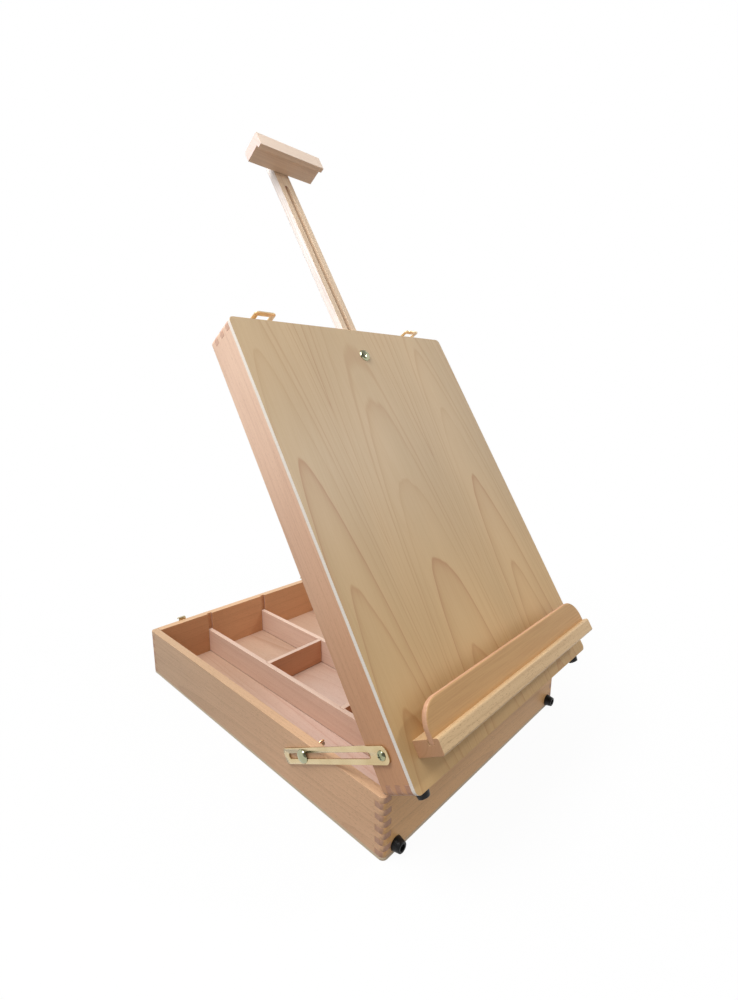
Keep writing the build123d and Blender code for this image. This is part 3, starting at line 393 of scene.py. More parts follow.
    def build(self) -> Tree:
        """Wire the colour, roughness and height, and return the group's tree."""
        graph, wire = self.graph, self.wire
        rings = self.rings()
        strands = self.streaks(self.strand_scales, detail=3.0)
        fibres = graph.times(graph.ramp(strands, *self.fibre_reach), wire["fibres"])
        dashes = self.streaks(self.dash_scales, detail=1.0)
        flecks = graph.times(graph.ramp(dashes, *self.fleck_reach), wire["flecks"])
        facing = graph.split(wire["facing"])
        ended = graph.ramp(graph.math("ABSOLUTE", facing[0]), *self.end_reach)
        sided = graph.ramp(graph.math("ABSOLUTE", facing[2]), *self.side_ramp)
        colour = graph.mix(rings, self.ground(sided), wire["dark"])
        colour = graph.mix(fibres, colour, wire["dark"])
        brown = graph.mix(self.fleck_share, wire["dark"], self.fleck_brown)
        colour = self.toned(graph.mix(flecks, colour, brown))
        colour = graph.mix(ended, colour, self.end_grain(rings))
        colour = graph.mix(graph.times(sided, wire["plies"]), colour, self.ply_edge())
        rough = graph.plus(graph.times(strands, self.strand_rough), self.least_rough)
        falls = graph.plus(graph.times(rings, self.ring_fall), graph.times(flecks, self.fleck_fall))
        rise = graph.times(strands, self.strand_rise)
        # The painted crevice shade at a board's foot goes last over the colour.
        results = {
            "Color": graph.mix(self.foot_line(), colour, self.foot_brown),
            "Roughness": graph.plus(rough, graph.times(ended, self.end_rough)),
            "Height": graph.math("SUBTRACT", rise, falls),
        }
        graph.node("NodeGroupOutput", results)
        return self.tree


@dataclass(frozen=True)
class Plating:
    """The uneven plating shared by the metals: colour drift, handling marks, fine scratches."""

    cloud_scale: float = 40.0
    cloud_reach: Pair = (0.35, 0.68)
    mark_scale: float = 300.0
    mark_reach: Pair = (0.4, 0.8)
    mark_share: float = 0.03
    brush_scales: Triple = (2500.0, 160.0, 2500.0)

    def build(self) -> Tree:
        """Wire the group and return its tree."""
        tree = new_group("plating", METAL_INPUTS)
        graph = Graph(tree)
        wire = graph.node("NodeGroupInput").outputs
        clouds = graph.noise(wire["position"], self.cloud_scale, detail=3.0)
        marks = graph.ramp(graph.noise(wire["position"], self.mark_scale), *self.mark_reach)
        brushed = graph.noise(graph.vector("MULTIPLY", wire["position"], self.brush_scales), 1.0)
        results = {
            "Color": graph.mix(
                graph.ramp(clouds, *self.cloud_reach), wire["main"], wire["drift"]
            ),
            "Roughness": graph.plus(wire["polish"], graph.times(marks, self.mark_share)),
            "Height": graph.times(brushed, wire["brushing"]),
        }
        graph.node("NodeGroupOutput", results)
        return tree


SOLID_WOOD = SolidWood().build()
PLATING = Plating().build()


class Surface:
    """A new material, with its graph, its shader's sockets and its texture coordinates."""

    def __init__(self, name: str) -> None:
        """Start a material of the given name."""
        self.material = bpy.data.materials.new(name)
        self.material.use_nodes = True
        self.graph = Graph(self.material.node_tree)
        self.sockets = self.material.node_tree.nodes["Principled BSDF"].inputs
        self.space = self.graph.node("ShaderNodeTexCoord").outputs

    def emboss(self, height: Socket, relief: Pair) -> None:
        """Raise the surface by a height, to a strength and a depth in metres."""
        feeds = {"Strength": relief[0], "Distance": relief[1], "Height": height}
        self.graph.feed(self.sockets["Normal"], self.graph.out("ShaderNodeBump", feeds))

    def dress(self, tree: Tree, values: dict[str, Wire], relief: Pair) -> None:
        """Colour, roughen and emboss the surface with a shared group.

        Args:
            tree: The group.
            values: What its inputs get, by their names.
            relief: The strength and the depth of its height.
        """
        group = self.graph.node("ShaderNodeGroup", node_tree=tree)
        for socket in group.inputs:
            self.graph.feed(socket, values[socket.name])
        self.graph.feed(self.sockets["Base Color"], group.outputs["Color"])
        self.graph.feed(self.sockets["Roughness"], group.outputs["Roughness"])
        self.emboss(group.outputs["Height"], relief)


@dataclass(frozen=True)
class WoodFinish:
    """One kind of wood surface, from its colours to its grain."""

    pale: Colour
    dark: Colour
    end: Colour
    edge: Colour = (0.8, 0.7, 0.55, 1.0)
    ring_spacing: float = 3.2
    contrast: float = 0.28
    sharpness: float = 6.0
    wobble: float = 8.0
    pith_across: float = 25.0
    pith_below: float = 50.0
    flecks: float = 0.35
    fibres: float = 0.14
    # The next two paint light on side faces: how much of the paler edge colour they take, and how
    # far from the middle that starts.
    side: float = 0.0
    side_from: float = 0.0
    leaf: float = 10000.0
    plies: float = 0.0
    tilt: float = 0.02
    # The next three paint light and shade along the grain: a tint, and where it starts and where it
    # is full, in millimetres.
    low_tint: Colour = (1.0, 1.0, 1.0, 1.0)
    low_from: float = 100.0
    low_to: float = -200.0
    # How dark the painted crevice shade at the foot of a board is.
    foot_line: float = 0.0
    gloss: float = 0.35
    coat: float = 0.12
    coat_roughness: float = 0.35
    relief: Pair = (0.25, 0.00025)

    def material(
        self, name: str, grain: Grain, corners: tuple[Vector, Vector], seed: float
    ) -> Material:
        """Make this finish for one piece.

        Args:
            name: The piece's name.
            grain: Which way its grain runs.
            corners: The lowest and highest corners of the piece's box.
            seed: What makes its grain its own.

        Returns:
            The piece's material.
        """
        surface = Surface("wood_" + name)
        low, high = corners
        matrix = grain.board_matrix((low + high) / 2, self.tilt * (1 if seed % 2 < 1 else -1))
        turn = {"Rotation": matrix.to_euler("XYZ")}
        place = turn | {"Location": matrix.to_translation(), "Vector": surface.space["Object"]}
        facing = turn | {"Vector": surface.space["Normal"]}
        values = vars(self) | {label: getattr(self, label) * MM for label in WOOD_LENGTHS}
        for label, feeds, kind in (("position", place, "POINT"), ("facing", facing, "VECTOR")):
            values[label] = surface.graph.out("ShaderNodeMapping", feeds, vector_type=kind)
        values |= {"foot_at": (low.z - high.z) / 2, "seed": seed}
        surface.dress(SOLID_WOOD, values, self.relief)
        surface.sockets["Specular IOR Level"].default_value = self.gloss
        surface.sockets["Coat Weight"].default_value = self.coat
        surface.sockets["Coat Roughness"].default_value = self.coat_roughness
        return surface.material


@dataclass(frozen=True)
class MetalFinish:
    """One plated metal surface."""

    main: Colour
    drift: Colour
    polish: float = 0.22
    brushing: float = 0.2
    metallic: float = 1.0
    relief: Pair = (0.03, 0.00005)

    def material(self, name: str) -> Material:
        """Make this finish under a name."""
        surface = Surface("metal_" + name)
        values = vars(self) | {"position": surface.space["Object"]}
        surface.dress(PLATING, values, self.relief)
        surface.sockets["Metallic"].default_value = self.metallic
        return surface.material


@dataclass(frozen=True)
class RubberFinish:
    """Black moulded rubber with a little dust."""

    black: Colour = tint(15, 15, 16)
    dust: Colour = tint(44, 43, 41)
    speck_scale: float = 600.0
    dust_ramp: Ramp = (0.6, 0.8, 0.0, 0.5)
    rough_ramp: Ramp = (0.3, 0.7, 0.36, 0.5)
    gloss: float = 0.3
    relief: Pair = (0.15, 0.0001)

    def material(self, name: str) -> Material:
        """Make this finish under a name."""
        surface = Surface("rubber_" + name)
        graph = surface.graph
        specks = graph.noise(surface.space["Object"], self.speck_scale, detail=4.0)
        dusted = graph.ramp(specks, *self.dust_ramp)
        graph.feed(surface.sockets["Base Color"], graph.mix(dusted, self.black, self.dust))
        graph.feed(surface.sockets["Roughness"], graph.ramp(specks, *self.rough_ramp))
        surface.emboss(specks, self.relief)
        surface.sockets["Specular IOR Level"].default_value = self.gloss
        return surface.material


BEECH_DARK = tint(158, 108, 72)
BEECH_END = tint(200, 158, 134)


class Wood(Enum):
    """The easel's wood surfaces, some of them lit or shaded copies of the same beech."""

    # WALL's tint, darker and cooler towards the back of the side walls, is painted shade, and its
    # slightly paler top faces are painted light.
    WALL = WoodFinish(
        tint(228, 183, 143), BEECH_DARK, BEECH_END, edge=tint(230, 188, 148), side=1.0,
        side_from=25, flecks=0.45, low_tint=(0.83, 0.86, 0.86, 1.0), low_from=-160, low_to=200,
    )
    # The front wall's finish is a warmer, yellower copy of the walls' beech: painted bounce light
    # from the board onto the shaded front wall.
    FRONT = WoodFinish(
        tint(228, 177, 119), BEECH_DARK, BEECH_END, edge=tint(228, 184, 138), side=1.0, flecks=0.4,
        contrast=0.35,
    )
    # The back wall's finish is a darker copy of the walls' beech: painted shade on its faces, while
    # its top faces keep the paler edge colour.
    INNER = WoodFinish(
        tint(209, 156, 114), BEECH_DARK, BEECH_END, edge=tint(230, 188, 146), side=1.0,
        side_from=25, flecks=0.35,
    )
    # DIVIDER is paler and pinker than the walls' beech, raised to stand in for the overhead light
    # that fills the tray.
    DIVIDER = WoodFinish(
        tint(231, 202, 183), tint(184, 134, 106), tint(206, 164, 140), edge=tint(238, 208, 188),
        side=1.0, flecks=0.25, foot_line=0.6,
    )
    # The cross dividers' finish is a darker copy of the dividers: painted shade on their front
    # faces.
    CROSS_DIVIDER = replace(DIVIDER, pale=tint(211, 155, 118), dark=tint(170, 116, 84))
    # BOTTOM is raised pale for the same painted overhead light, and its tint, darker and warmer
    # towards the back of the tray floor, is painted shade.
    BOTTOM = WoodFinish(
        tint(231, 204, 190), tint(196, 142, 114), BEECH_END, edge=tint(214, 196, 166),
        ring_spacing=6, contrast=0.5, wobble=30, pith_below=70, plies=1.0, tilt=0.05,
        low_tint=(0.78, 0.71, 0.6, 1.0), low_from=-90, low_to=150,
    )
    # RAIL's tint, darker and browner towards the foot of the rails, is painted shade: the light
    # falling off from the top.
    RAIL = WoodFinish(
        tint(244, 208, 182), tint(186, 134, 104), tint(222, 182, 160), flecks=0.25,
        low_tint=(0.7, 0.52, 0.36, 1.0), low_from=170, low_to=-190,
    )
    CROSS_RAIL = WoodFinish(
        tint(238, 200, 168), tint(186, 134, 104), tint(192, 144, 117), flecks=0.25,
    )
    # BOARD's tint, warmer and brighter towards the foot, is painted bounce light from the ledge.
    BOARD = WoodFinish(
        tint(197, 171, 135), tint(163, 113, 75), BEECH_END, edge=tint(255, 247, 236),
        ring_spacing=2.8, contrast=1.0, sharpness=11, wobble=11, pith_across=20, pith_below=105,
        leaf=118, flecks=0.04, fibres=0.1, plies=1.0, tilt=0.026,
        low_tint=(1.14, 1.02, 0.78, 1.0), low_from=80, low_to=-210,
    )
    LIP = WoodFinish(
        tint(194, 152, 101), tint(160, 112, 68), tint(206, 160, 128), edge=tint(224, 176, 142),
        side=1.0, ring_spacing=2.6, contrast=0.3, pith_across=60, pith_below=20, flecks=0.1,
        fibres=0.3,
    )
    LEDGE = WoodFinish(
        tint(221, 188, 143), tint(164, 120, 78), tint(196, 150, 114), flecks=0.5, contrast=0.4,
        pith_across=14, pith_below=9, wobble=5,
    )
    # MAST's near-white edge colour on its outer side faces is painted light, as if lit strongly
    # from the left.
    MAST = WoodFinish(
        tint(218, 194, 166), tint(176, 132, 96), BEECH_END, edge=tint(255, 247, 242), side=1.0,
        side_from=9, flecks=0.12, fibres=0.3, contrast=0.4,
    )
    # BLOCK's near-white end and edge colours are painted light: the end as if lit strongly from the
    # left, the top and underside lifted out of their shade.
    BLOCK = WoodFinish(
        tint(224, 204, 186), tint(200, 160, 130), tint(236, 214, 206), edge=tint(255, 222, 190),
        side=1.0, flecks=0.12, contrast=0.3,
    )


class Metal(Enum):
    """The easel's metal surfaces."""

    PASSIVATED = MetalFinish(tint(216, 196, 156), tint(204, 182, 140), polish=0.22, brushing=0.03)
    BRIGHT = MetalFinish(tint(178, 178, 148), tint(150, 154, 122), polish=0.1, brushing=0.02)
    COPPERED = MetalFinish(tint(240, 204, 164), tint(224, 172, 124), polish=0.13, brushing=0.02)
    BRASS = MetalFinish(
        tint(240, 218, 176), tint(234, 206, 158), polish=0.34, brushing=0.03, metallic=0.75
    )
    ZINC = MetalFinish(tint(206, 204, 198), tint(196, 194, 186), polish=0.25, brushing=0.03)


METALS = {kind: kind.value.material(kind.name.lower()) for kind in Metal}
RUBBER = RubberFinish().material("feet")
BODY_OF = {
    node: body
    for body, nodes in FRAME["record"]["behaviour"]["bodies"].items()
    for node in nodes
}
SLOT_OF = {entry["node"]: entry["material_slot"] for entry in FRAME["record"]["subparts"]}


def added(name: str, data: ID) -> Object:
    """Put a new object of the data into the scene and return it."""
    made = bpy.data.objects.new(name, data)
    bpy.context.scene.collection.objects.link(made)
    return made


def finish_piece(mesh: Mesh, name: str, material: Material, node: str) -> Object:
    """Make a finished piece of a mesh, in place of a node and on its body.

    Args:
        mesh: The finished mesh, in place.
        name: The piece's name.
        material: Its only material.
        node: The node that it stands for.

    Returns:
        The piece's object.
    """
    mesh.materials.clear()
    mesh.materials.append(material)
    piece = added(name, mesh)
    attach(piece, BODY_OF[node])
    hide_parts(node)
    LOG.info("%s: %d faces on %s", name, len(mesh.polygons), BODY_OF[node])
    return piece


def evaluated_copy(source: Object, name: str) -> Mesh:
    """Turn an object with modifiers into a plain mesh and remove the object."""
    graph = bpy.context.evaluated_depsgraph_get()
    mesh = bpy.data.meshes.new_from_object(source.evaluated_get(graph))
    mesh.name = name
    old = source.data
    bpy.data.objects.remove(source)
    if old.users == 0:
        bpy.data.meshes.remove(old)
    return mesh


def smooth_below(mesh: Mesh, degrees: float = 32.0) -> None:
    """Shade a mesh smooth, but for edges sharper than an angle."""
    mesh.shade_smooth()
    mesh.set_sharp_from_angle(angle=math.radians(degrees))


def eased_mesh(node: str, width: float, segments: int = 2, sharp: float = 35.0) -> Mesh:
    """Copy a node's shape with its sharp edges lightly rounded.

    Args:
        node: The node to copy.
        width: How far the rounding reaches from each edge, in millimetres.
        segments: Faces across the rounding.
        sharp: The least angle between faces that counts as an edge, in degrees.

    Returns:
        The new mesh.
    """
    mesh = FRAME["nodes"][node].data.copy()
    form = bmesh.new()
    form.from_mesh(mesh)
    bmesh.ops.remove_doubles(form, verts=form.verts, dist=SAME_PLACE)
    bmesh.ops.dissolve_limit(
        form, angle_limit=SAME_FACE, use_dissolve_boundaries=False,
        verts=form.verts, edges=form.edges,
    )
    form.to_mesh(mesh)
    form.free()
    holder = added(node + "_eased", mesh)
    bevel = holder.modifiers.new("ease", "BEVEL")
    bevel.width = width * MM
    bevel.segments = segments
    bevel.limit_method = "ANGLE"
    bevel.angle_limit = math.radians(sharp)
    bevel.use_clamp_overlap = True
    bevel.harden_normals = True
    return evaluated_copy(holder, node + "_eased")


def build_wood(ease: float, *rows: tuple[str, Wood, Grain, float]) -> None:
    """Ease the edges of some wooden pieces and dress them.

    Args:
        ease: How far their edges are eased, in millimetres.
        rows: Each piece's node, surface, grain and seed.
    """
    for node, wood, grain, seed in rows:
        mesh = eased_mesh(node, ease)
        finish = wood.value.material(node, grain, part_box(node), seed)
        finish_piece(mesh, node + "_wood", finish, node)


@dataclass
class BaseBox:
    """The base box: walls, plywood bottom and tray dividers."""

    wall_ease: float = 0.45
    divider_ease: float = 0.4
    bottom_ease: float = 0.3

    def build(self) -> None:
        """Build and dress every wooden piece of the base."""
        build_wood(
            self.wall_ease,
            ("base_front_wall", Wood.FRONT, Grain.WALL_X, 1.3),
            ("base_back_wall", Wood.INNER, Grain.WALL_X, 2.6),
            ("base_left_wall", Wood.WALL, Grain.WALL_Y, 3.1),
            ("base_right_wall", Wood.WALL, Grain.WALL_Y, 4.7),
        )
        build_wood(self.bottom_ease, ("base_bottom_panel", Wood.BOTTOM, Grain.BASE_Y, 5.2))
        build_wood(
            self.divider_ease,
            ("divider_left", Wood.DIVIDER, Grain.WALL_Y, 6.4),
            ("divider_right", Wood.DIVIDER, Grain.WALL_Y, 7.9),
            ("divider_cross_rear", Wood.CROSS_DIVIDER, Grain.WALL_X, 8.1),
            ("divider_cross_front", Wood.CROSS_DIVIDER, Grain.WALL_X, 9.5),
        )


@dataclass
class LidAndMast:
    """The lid's frame, board and ledge, and the sliding mast."""

    rail_ease: float = 0.45
    board_ease: float = 0.6
    ledge_ease: float = 0.5

    def build(self) -> None:
        """Build and dress every wooden piece of the lid and the mast."""
        build_wood(
            self.rail_ease,
            ("lid_left_rail", Wood.RAIL, Grain.RAIL_U, 11.3),
            ("lid_right_rail", Wood.RAIL, Grain.RAIL_U, 12.2),
            ("lid_bottom_rail", Wood.CROSS_RAIL, Grain.RAIL_X, 13.7),
            ("lid_top_rail", Wood.RAIL, Grain.RAIL_X, 14.1),
        )
        build_wood(self.board_ease, ("drawing_board", Wood.BOARD, Grain.LID_U, 15.4))
        build_wood(
            self.ledge_ease,
            ("ledge_block", Wood.LEDGE, Grain.RAIL_X, 16.8),
            ("ledge_lip", Wood.LIP, Grain.LID_X, 17.5),
        )
        build_wood(
            self.rail_ease,
            ("mast_bar", Wood.MAST, Grain.LID_U, 18.2),
            ("mast_block", Wood.BLOCK, Grain.LID_X, 19.6),
        )


@dataclass
class PlatedParts:
    """Sheet and wire fittings that keep the shape of their nodes."""

    ease: tuple[tuple[str, float], ...] = (
        ("stay_bar_left", 0.22), ("stay_bar_right", 0.22), ("latch_plates", 0.15),
        ("latch_lever_left", 0.2), ("latch_lever_right", 0.2), ("latch_bail_left", 0.45),
        ("latch_bail_right", 0.45), ("latch_strikes", 0.15), ("latch_pins", 0.2),
        ("latch_crank_pin_left", 0.2), ("latch_crank_pin_right", 0.2),
        ("hinge_leaves_base", 0.1), ("hinge_leaves_lid", 0.1), ("hinge_pins", 0.2),
        ("handle_brackets", 0.25), ("carry_handle", 0.2), ("stay_washers", 0.15),
        ("mast_washer", 0.15), ("stay_studs", 0.25), ("stay_wing_nut_left", 0.55),
        ("stay_wing_nut_right", 0.55), ("mast_wing_nut", 0.55),
    )
    sharp: float = 40.0
    smooth: float = 48.0

    def metal(self, node: str) -> Metal:
        """Return a fitting's plating, which goes by its slot but for a few."""
        if "wing_nut" in node:
            return Metal.COPPERED
        if node == "latch_strikes":
            return Metal.PASSIVATED
        kinds = {"yellow_passivated": Metal.PASSIVATED, "brass_fittings": Metal.BRASS}
        return kinds.get(SLOT_OF[node], Metal.ZINC)

    def build(self) -> None:
        """Ease each fitting's edges and plate it."""
        for node, width in self.ease:
            mesh = eased_mesh(node, width, sharp=self.sharp)
            smooth_below(mesh, self.smooth)
            finish_piece(mesh, node + "_plated", METALS[self.metal(node)], node)


@dataclass
class RubberFeet:
    """The moulded feet on the base and on the lid."""

    nodes: tuple[str, ...] = ("base_feet", "lid_feet")
    ease: float = 0.45
    segments: int = 3
    sharp: float = 40.0
    smooth: float = 30.0

    def build(self) -> None:
        """Round the feet's edges and make them rubber."""
        for node in self.nodes:
            mesh = eased_mesh(node, self.ease, self.segments, self.sharp)
            smooth_below(mesh, self.smooth)
            finish_piece(mesh, node + "_moulded", RUBBER, node)


@dataclass(frozen=True)
class Rank:
    """A node's fasteners, in millimetres: one for each x across and (y, z) spot of a frame."""

    node: str
    frame: Matrix
    across: tuple[float, ...]
    spots: tuple[Pair, ...]
    way: Vector

    def seats(self) -> list[Seat]:
        """Return where each head sits in the row frame, in metres, and the way it faces."""
        way = self.frame.to_3x3() @ self.way
        places = [Vector((x, *spot)) * MM for x in self.across for spot in self.spots]
        return [(self.frame @ place, way) for place in places]


SCREW_SIZES = (
    "head_radius", "head_height", "shank_radius", "length", "recess_width", "recess_depth",
)


@dataclass(frozen=True)
class Screw:
    """One size of screw, in millimetres; a raised one has a domed head."""

    head_radius: float
    head_height: float
    shank_radius: float
    length: float
    raised: bool = False
    recess_width: float = 0.7
    recess_depth: float = 0.9
    arm_share: float = 1.15
    sunk_share: float = 0.53
    shank_sides: int = 16
    head_sides: int = 32
    dome_sides: int = 36
    dome_rings: int = 20
    smooth: float = 40.0
    seed: int = 7

    def tree(self) -> Tree:
        """Build the tree that sets one screw on every point, facing the way the point says."""
        tree = bpy.data.node_groups.new("screws", "GeometryNodeTree")
        kinds = {"points": "Geometry"} | dict.fromkeys(SCREW_SIZES, "Float")
        for label, kind in (kinds | {"finish": "Material"}).items():
            tree.interface.new_socket(label, in_out="INPUT", socket_type="NodeSocket" + kind)
        tree.interface.new_socket("screws", in_out="OUTPUT", socket_type="NodeSocketGeometry")
        graph = Graph(tree)
        wire = graph.node("NodeGroupInput").outputs
        head = self.dome(graph, wire) if self.raised else self.cone(graph, wire)
        feeds = {"Vertices": self.shank_sides, "Radius": wire["shank_radius"]}
        feeds["Depth"] = wire["length"]
        shank = graph.out("GeometryNodeMeshCylinder", feeds)
        sunk = self.moved(graph, shank, graph.times(wire["length"], -self.sunk_share))
        whole = graph.node("GeometryNodeJoinGeometry")
        for part in (self.crossed(graph, wire, head), sunk):
            tree.links.new(part, whole.inputs[0])
        self.spread(graph, wire, whole.outputs[0])
        return tree

    def moved(
        self, graph: Graph, shape: Socket, rise: Wire, scale: Wire = (1.0, 1.0, 1.0)
    ) -> Socket:
        """Lift a shape along its axis, and scale it, and return it."""
        feeds = {"Geometry": shape, "Translation": graph.combine(0.0, 0.0, rise), "Scale": scale}
        return graph.out("GeometryNodeTransform", feeds)

    def cone(self, graph: Graph, wire: Sockets) -> Socket:
        """Return a countersunk head whose flat top is level with the seat."""
        feeds = {
            "Vertices": self.head_sides,
            "Radius Top": wire["head_radius"],
            "Radius Bottom": wire["shank_radius"],
            "Depth": wire["head_height"],
        }
        made = graph.out("GeometryNodeMeshCone", feeds)
        return self.moved(graph, made, graph.times(wire["head_height"], -1.0))

    def dome(self, graph: Graph, wire: Sockets) -> Socket:
        """Return a domed head that stands on the seat."""
        feeds = {"Segments": self.dome_sides, "Rings": self.dome_rings}
        feeds["Radius"] = wire["head_radius"]
        ball = graph.out("GeometryNodeMeshUVSphere", feeds)
        flatness = graph.math("DIVIDE", wire["head_height"], wire["head_radius"])
        return self.moved(graph, ball, 0.0, graph.combine(1.0, 1.0, flatness))

    def crossed(self, graph: Graph, wire: Sockets, head: Socket) -> Socket:
        """Cut a cross recess into the head, and a dome off at its seat, and return it."""
        cut = graph.node(
            "GeometryNodeMeshBoolean", {0: head}, operation="DIFFERENCE", solver="EXACT"
        )
        reach = graph.times(wire["head_radius"], self.arm_share)
        deep = graph.times(wire["recess_depth"], 2.0)
        narrow = wire["recess_width"]
        top = wire["head_height"] if self.raised else 0.0
        tools = [((reach, narrow, deep), top), ((narrow, reach, deep), top)]
        if self.raised:
            width = graph.times(wire["head_radius"], 4.0)
            tools.append(((width, width, width), graph.times(wire["head_radius"], -2.0)))
        for size, rise in tools:
            block = graph.out("GeometryNodeMeshCube", {"Size": graph.combine(*size)})
            graph.tree.links.new(self.moved(graph, block, rise), cut.inputs[1])
        return cut.outputs[0]

    def spread(self, graph: Graph, wire: Sockets, screw: Socket) -> None:
        """Set the screw on the points, each turned its own way, as plain mesh."""
        facing = graph.out(
            "GeometryNodeInputNamedAttribute", {"Name": "facing"}, data_type="FLOAT_VECTOR"
        )
        aim = graph.out("FunctionNodeAlignRotationToVector", {"Vector": facing}, axis="Z")
        spin = graph.node("FunctionNodeRandomValue", {3: math.pi, "Seed": self.seed}).outputs[1]
        turn = {"Axis": (0.0, 0.0, 1.0), "Angle": spin}
        about = graph.out("FunctionNodeAxisAngleToRotation", turn)
        both = graph.out("FunctionNodeRotateRotation", {0: aim, 1: about}, rotation_space="LOCAL")
        feeds = {"Points": wire["points"], "Instance": screw, "Rotation": both}
        placed = graph.out("GeometryNodeInstanceOnPoints", feeds)
        real = graph.out("GeometryNodeRealizeInstances", {0: placed})
        coated = graph.out("GeometryNodeSetMaterial", {0: real, "Material": wire["finish"]})
        graph.node("NodeGroupOutput", {0: coated})

    def build(self, name: str, metal: Metal, *ranks: Rank) -> None:
        """Drive one screw into each seat and stand them for the nodes.

        Args:
            name: The piece's name.
            metal: The screws' plating.
            ranks: Where the heads sit, on nodes of one body.
        """
        seats = [seat for rank in ranks for seat in rank.seats()]
        points = bpy.data.meshes.new(name + "_seats")
        points.from_pydata([place for place, _ in seats], [], [])
        facing = points.attributes.new("facing", "FLOAT_VECTOR", "POINT")
        facing.data.foreach_set("vector", [part for _, way in seats for part in way])
        holder = added(name + "_seats", points)
        modifier = holder.modifiers.new("screws", "NODES")
        modifier.node_group = self.tree()
        for item in modifier.node_group.interface.items_tree:
            if item.name in SCREW_SIZES:
                modifier[item.identifier] = getattr(self, item.name) * MM
            elif item.name == "finish":
                modifier[item.identifier] = METALS[metal]
        mesh = evaluated_copy(holder, name)
        smooth_below(mesh, self.smooth)
        first, *others = dict.fromkeys(rank.node for rank in ranks)
        piece = finish_piece(mesh, name, METALS[metal], first)
        for node in others:
            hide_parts(node)


HINGE_X = tuple(side * 95.0 + hole for side in (-1, 1) for hole in (-13.33, 0.0, 13.33))
LATCH_X = tuple(side * 109.5 + hole for side in (-1, 1) for hole in (-8.6, 8.6))
FOOT_X = (-139.5, 139.5)


@dataclass
class Screws:
    """Every screw of the easel, by the body that it is driven into."""

    small: Screw = Screw(2.6, 1.2, 1.4, 9.0)
    long: Screw = Screw(2.6, 1.2, 1.4, 19.0)
    pan: Screw = Screw(2.7, 1.6, 1.5, 10.0, raised=True)
    pivot: Screw = Screw(4.2, 2.4, 1.9, 9.0, raised=True, recess_width=1.0, recess_depth=1.3)
    base_leaves: Rank = Rank("hinge_screws_base", BASE, HINGE_X, ((-206.25, 60.0),), Z)
    strikes: Rank = Rank("latch_strike_screws", BASE, LATCH_X, ((211.0, 50.5),), Y)
    brackets: Rank = Rank(
        "handle_bracket_screws", BASE, (-40.7, 40.7), ((211.2, 32.0), (211.2, 48.0)), Y
    )
    lid_leaves: Rank = Rank("hinge_screws_lid", LID, HINGE_X, ((3.75, 0.0),), -Z)
    latches: Rank = Rank("latch_plate_screws", LID, LATCH_X, ((421.0, 9.4), (421.0, 25.6)), Y)
    ledge: Rank = Rank("ledge_screws", LID, (-110.0, 0.0, 110.0), ((28.55, 34.0),), -Z)
    block: Rank = Rank("mast_block_screws", LID, (-5.5, 5.5), ((646.25, 24.3),), -Z)
    base_feet: Rank = Rank("base_feet_screws", BASE, FOOT_X, ((-213.5, 8.5),), -Y)
    lid_feet: Rank = Rank("lid_feet_screws", LID, FOOT_X, ((-3.5, 26.5),), -Y)
    left_pivot: Rank = Rank("stay_pivot_screws", LID, (-157.0,), ((33.5, 18.1),), -X)
    right_pivot: Rank = Rank("stay_pivot_screws", LID, (157.0,), ((33.5, 18.1),), X)

    def build(self) -> None:
        """Drive all screws."""
        on_base = (self.base_leaves, self.strikes, self.brackets)
        self.small.build("brass_screws_base", Metal.BRASS, *on_base)
        self.small.build("brass_screws_lid", Metal.BRASS, self.lid_leaves, self.latches)
        self.long.build("ledge_screws_steel", Metal.ZINC, self.ledge)
        self.long.build("block_screws_steel", Metal.ZINC, self.block)
        self.pan.build("feet_screws_base_steel", Metal.ZINC, self.base_feet)
        self.pan.build("feet_screws_lid_steel", Metal.ZINC, self.lid_feet)
        self.pivot.build("pivot_screws_plated", Metal.BRIGHT, self.left_pivot, self.right_pivot)


def lathe(profile: Sequence[Pair], turn: Matrix, steps: int = 48) -> Mesh:
    """Turn a profile about its axis into a closed mesh.

    Args:
        profile: Points as (radius, height) in millimetres, from the axis and back to it.
        turn: Places the shape, whose axis is Z, in the row frame.
        steps: Faces round the shape.

    Returns:
        The new mesh.
    """
    form = bmesh.new()
    rings = []
    for radius, height in profile:
        count = 1 if radius == 0 else steps
        angles = [2 * math.pi * step / steps for step in range(count)]
        rings.append([
            form.verts.new(turn @ (Vector((radius * cos(a), radius * sin(a), height)) * MM))
            for a in angles
        ])
    for lower, upper in zip(rings, rings[1:]):
        for step in range(steps):
            after = (step + 1) % steps
            corners = [lower[step % len(lower)], lower[after % len(lower)]]
            corners += [upper[after % len(upper)], upper[step % len(upper)]]
            form.faces.new(list(dict.fromkeys(corners)))
    bmesh.ops.recalc_face_normals(form, faces=form.faces)
    mesh = bpy.data.meshes.new("turned")
    form.to_mesh(mesh)
    form.free()
    return mesh


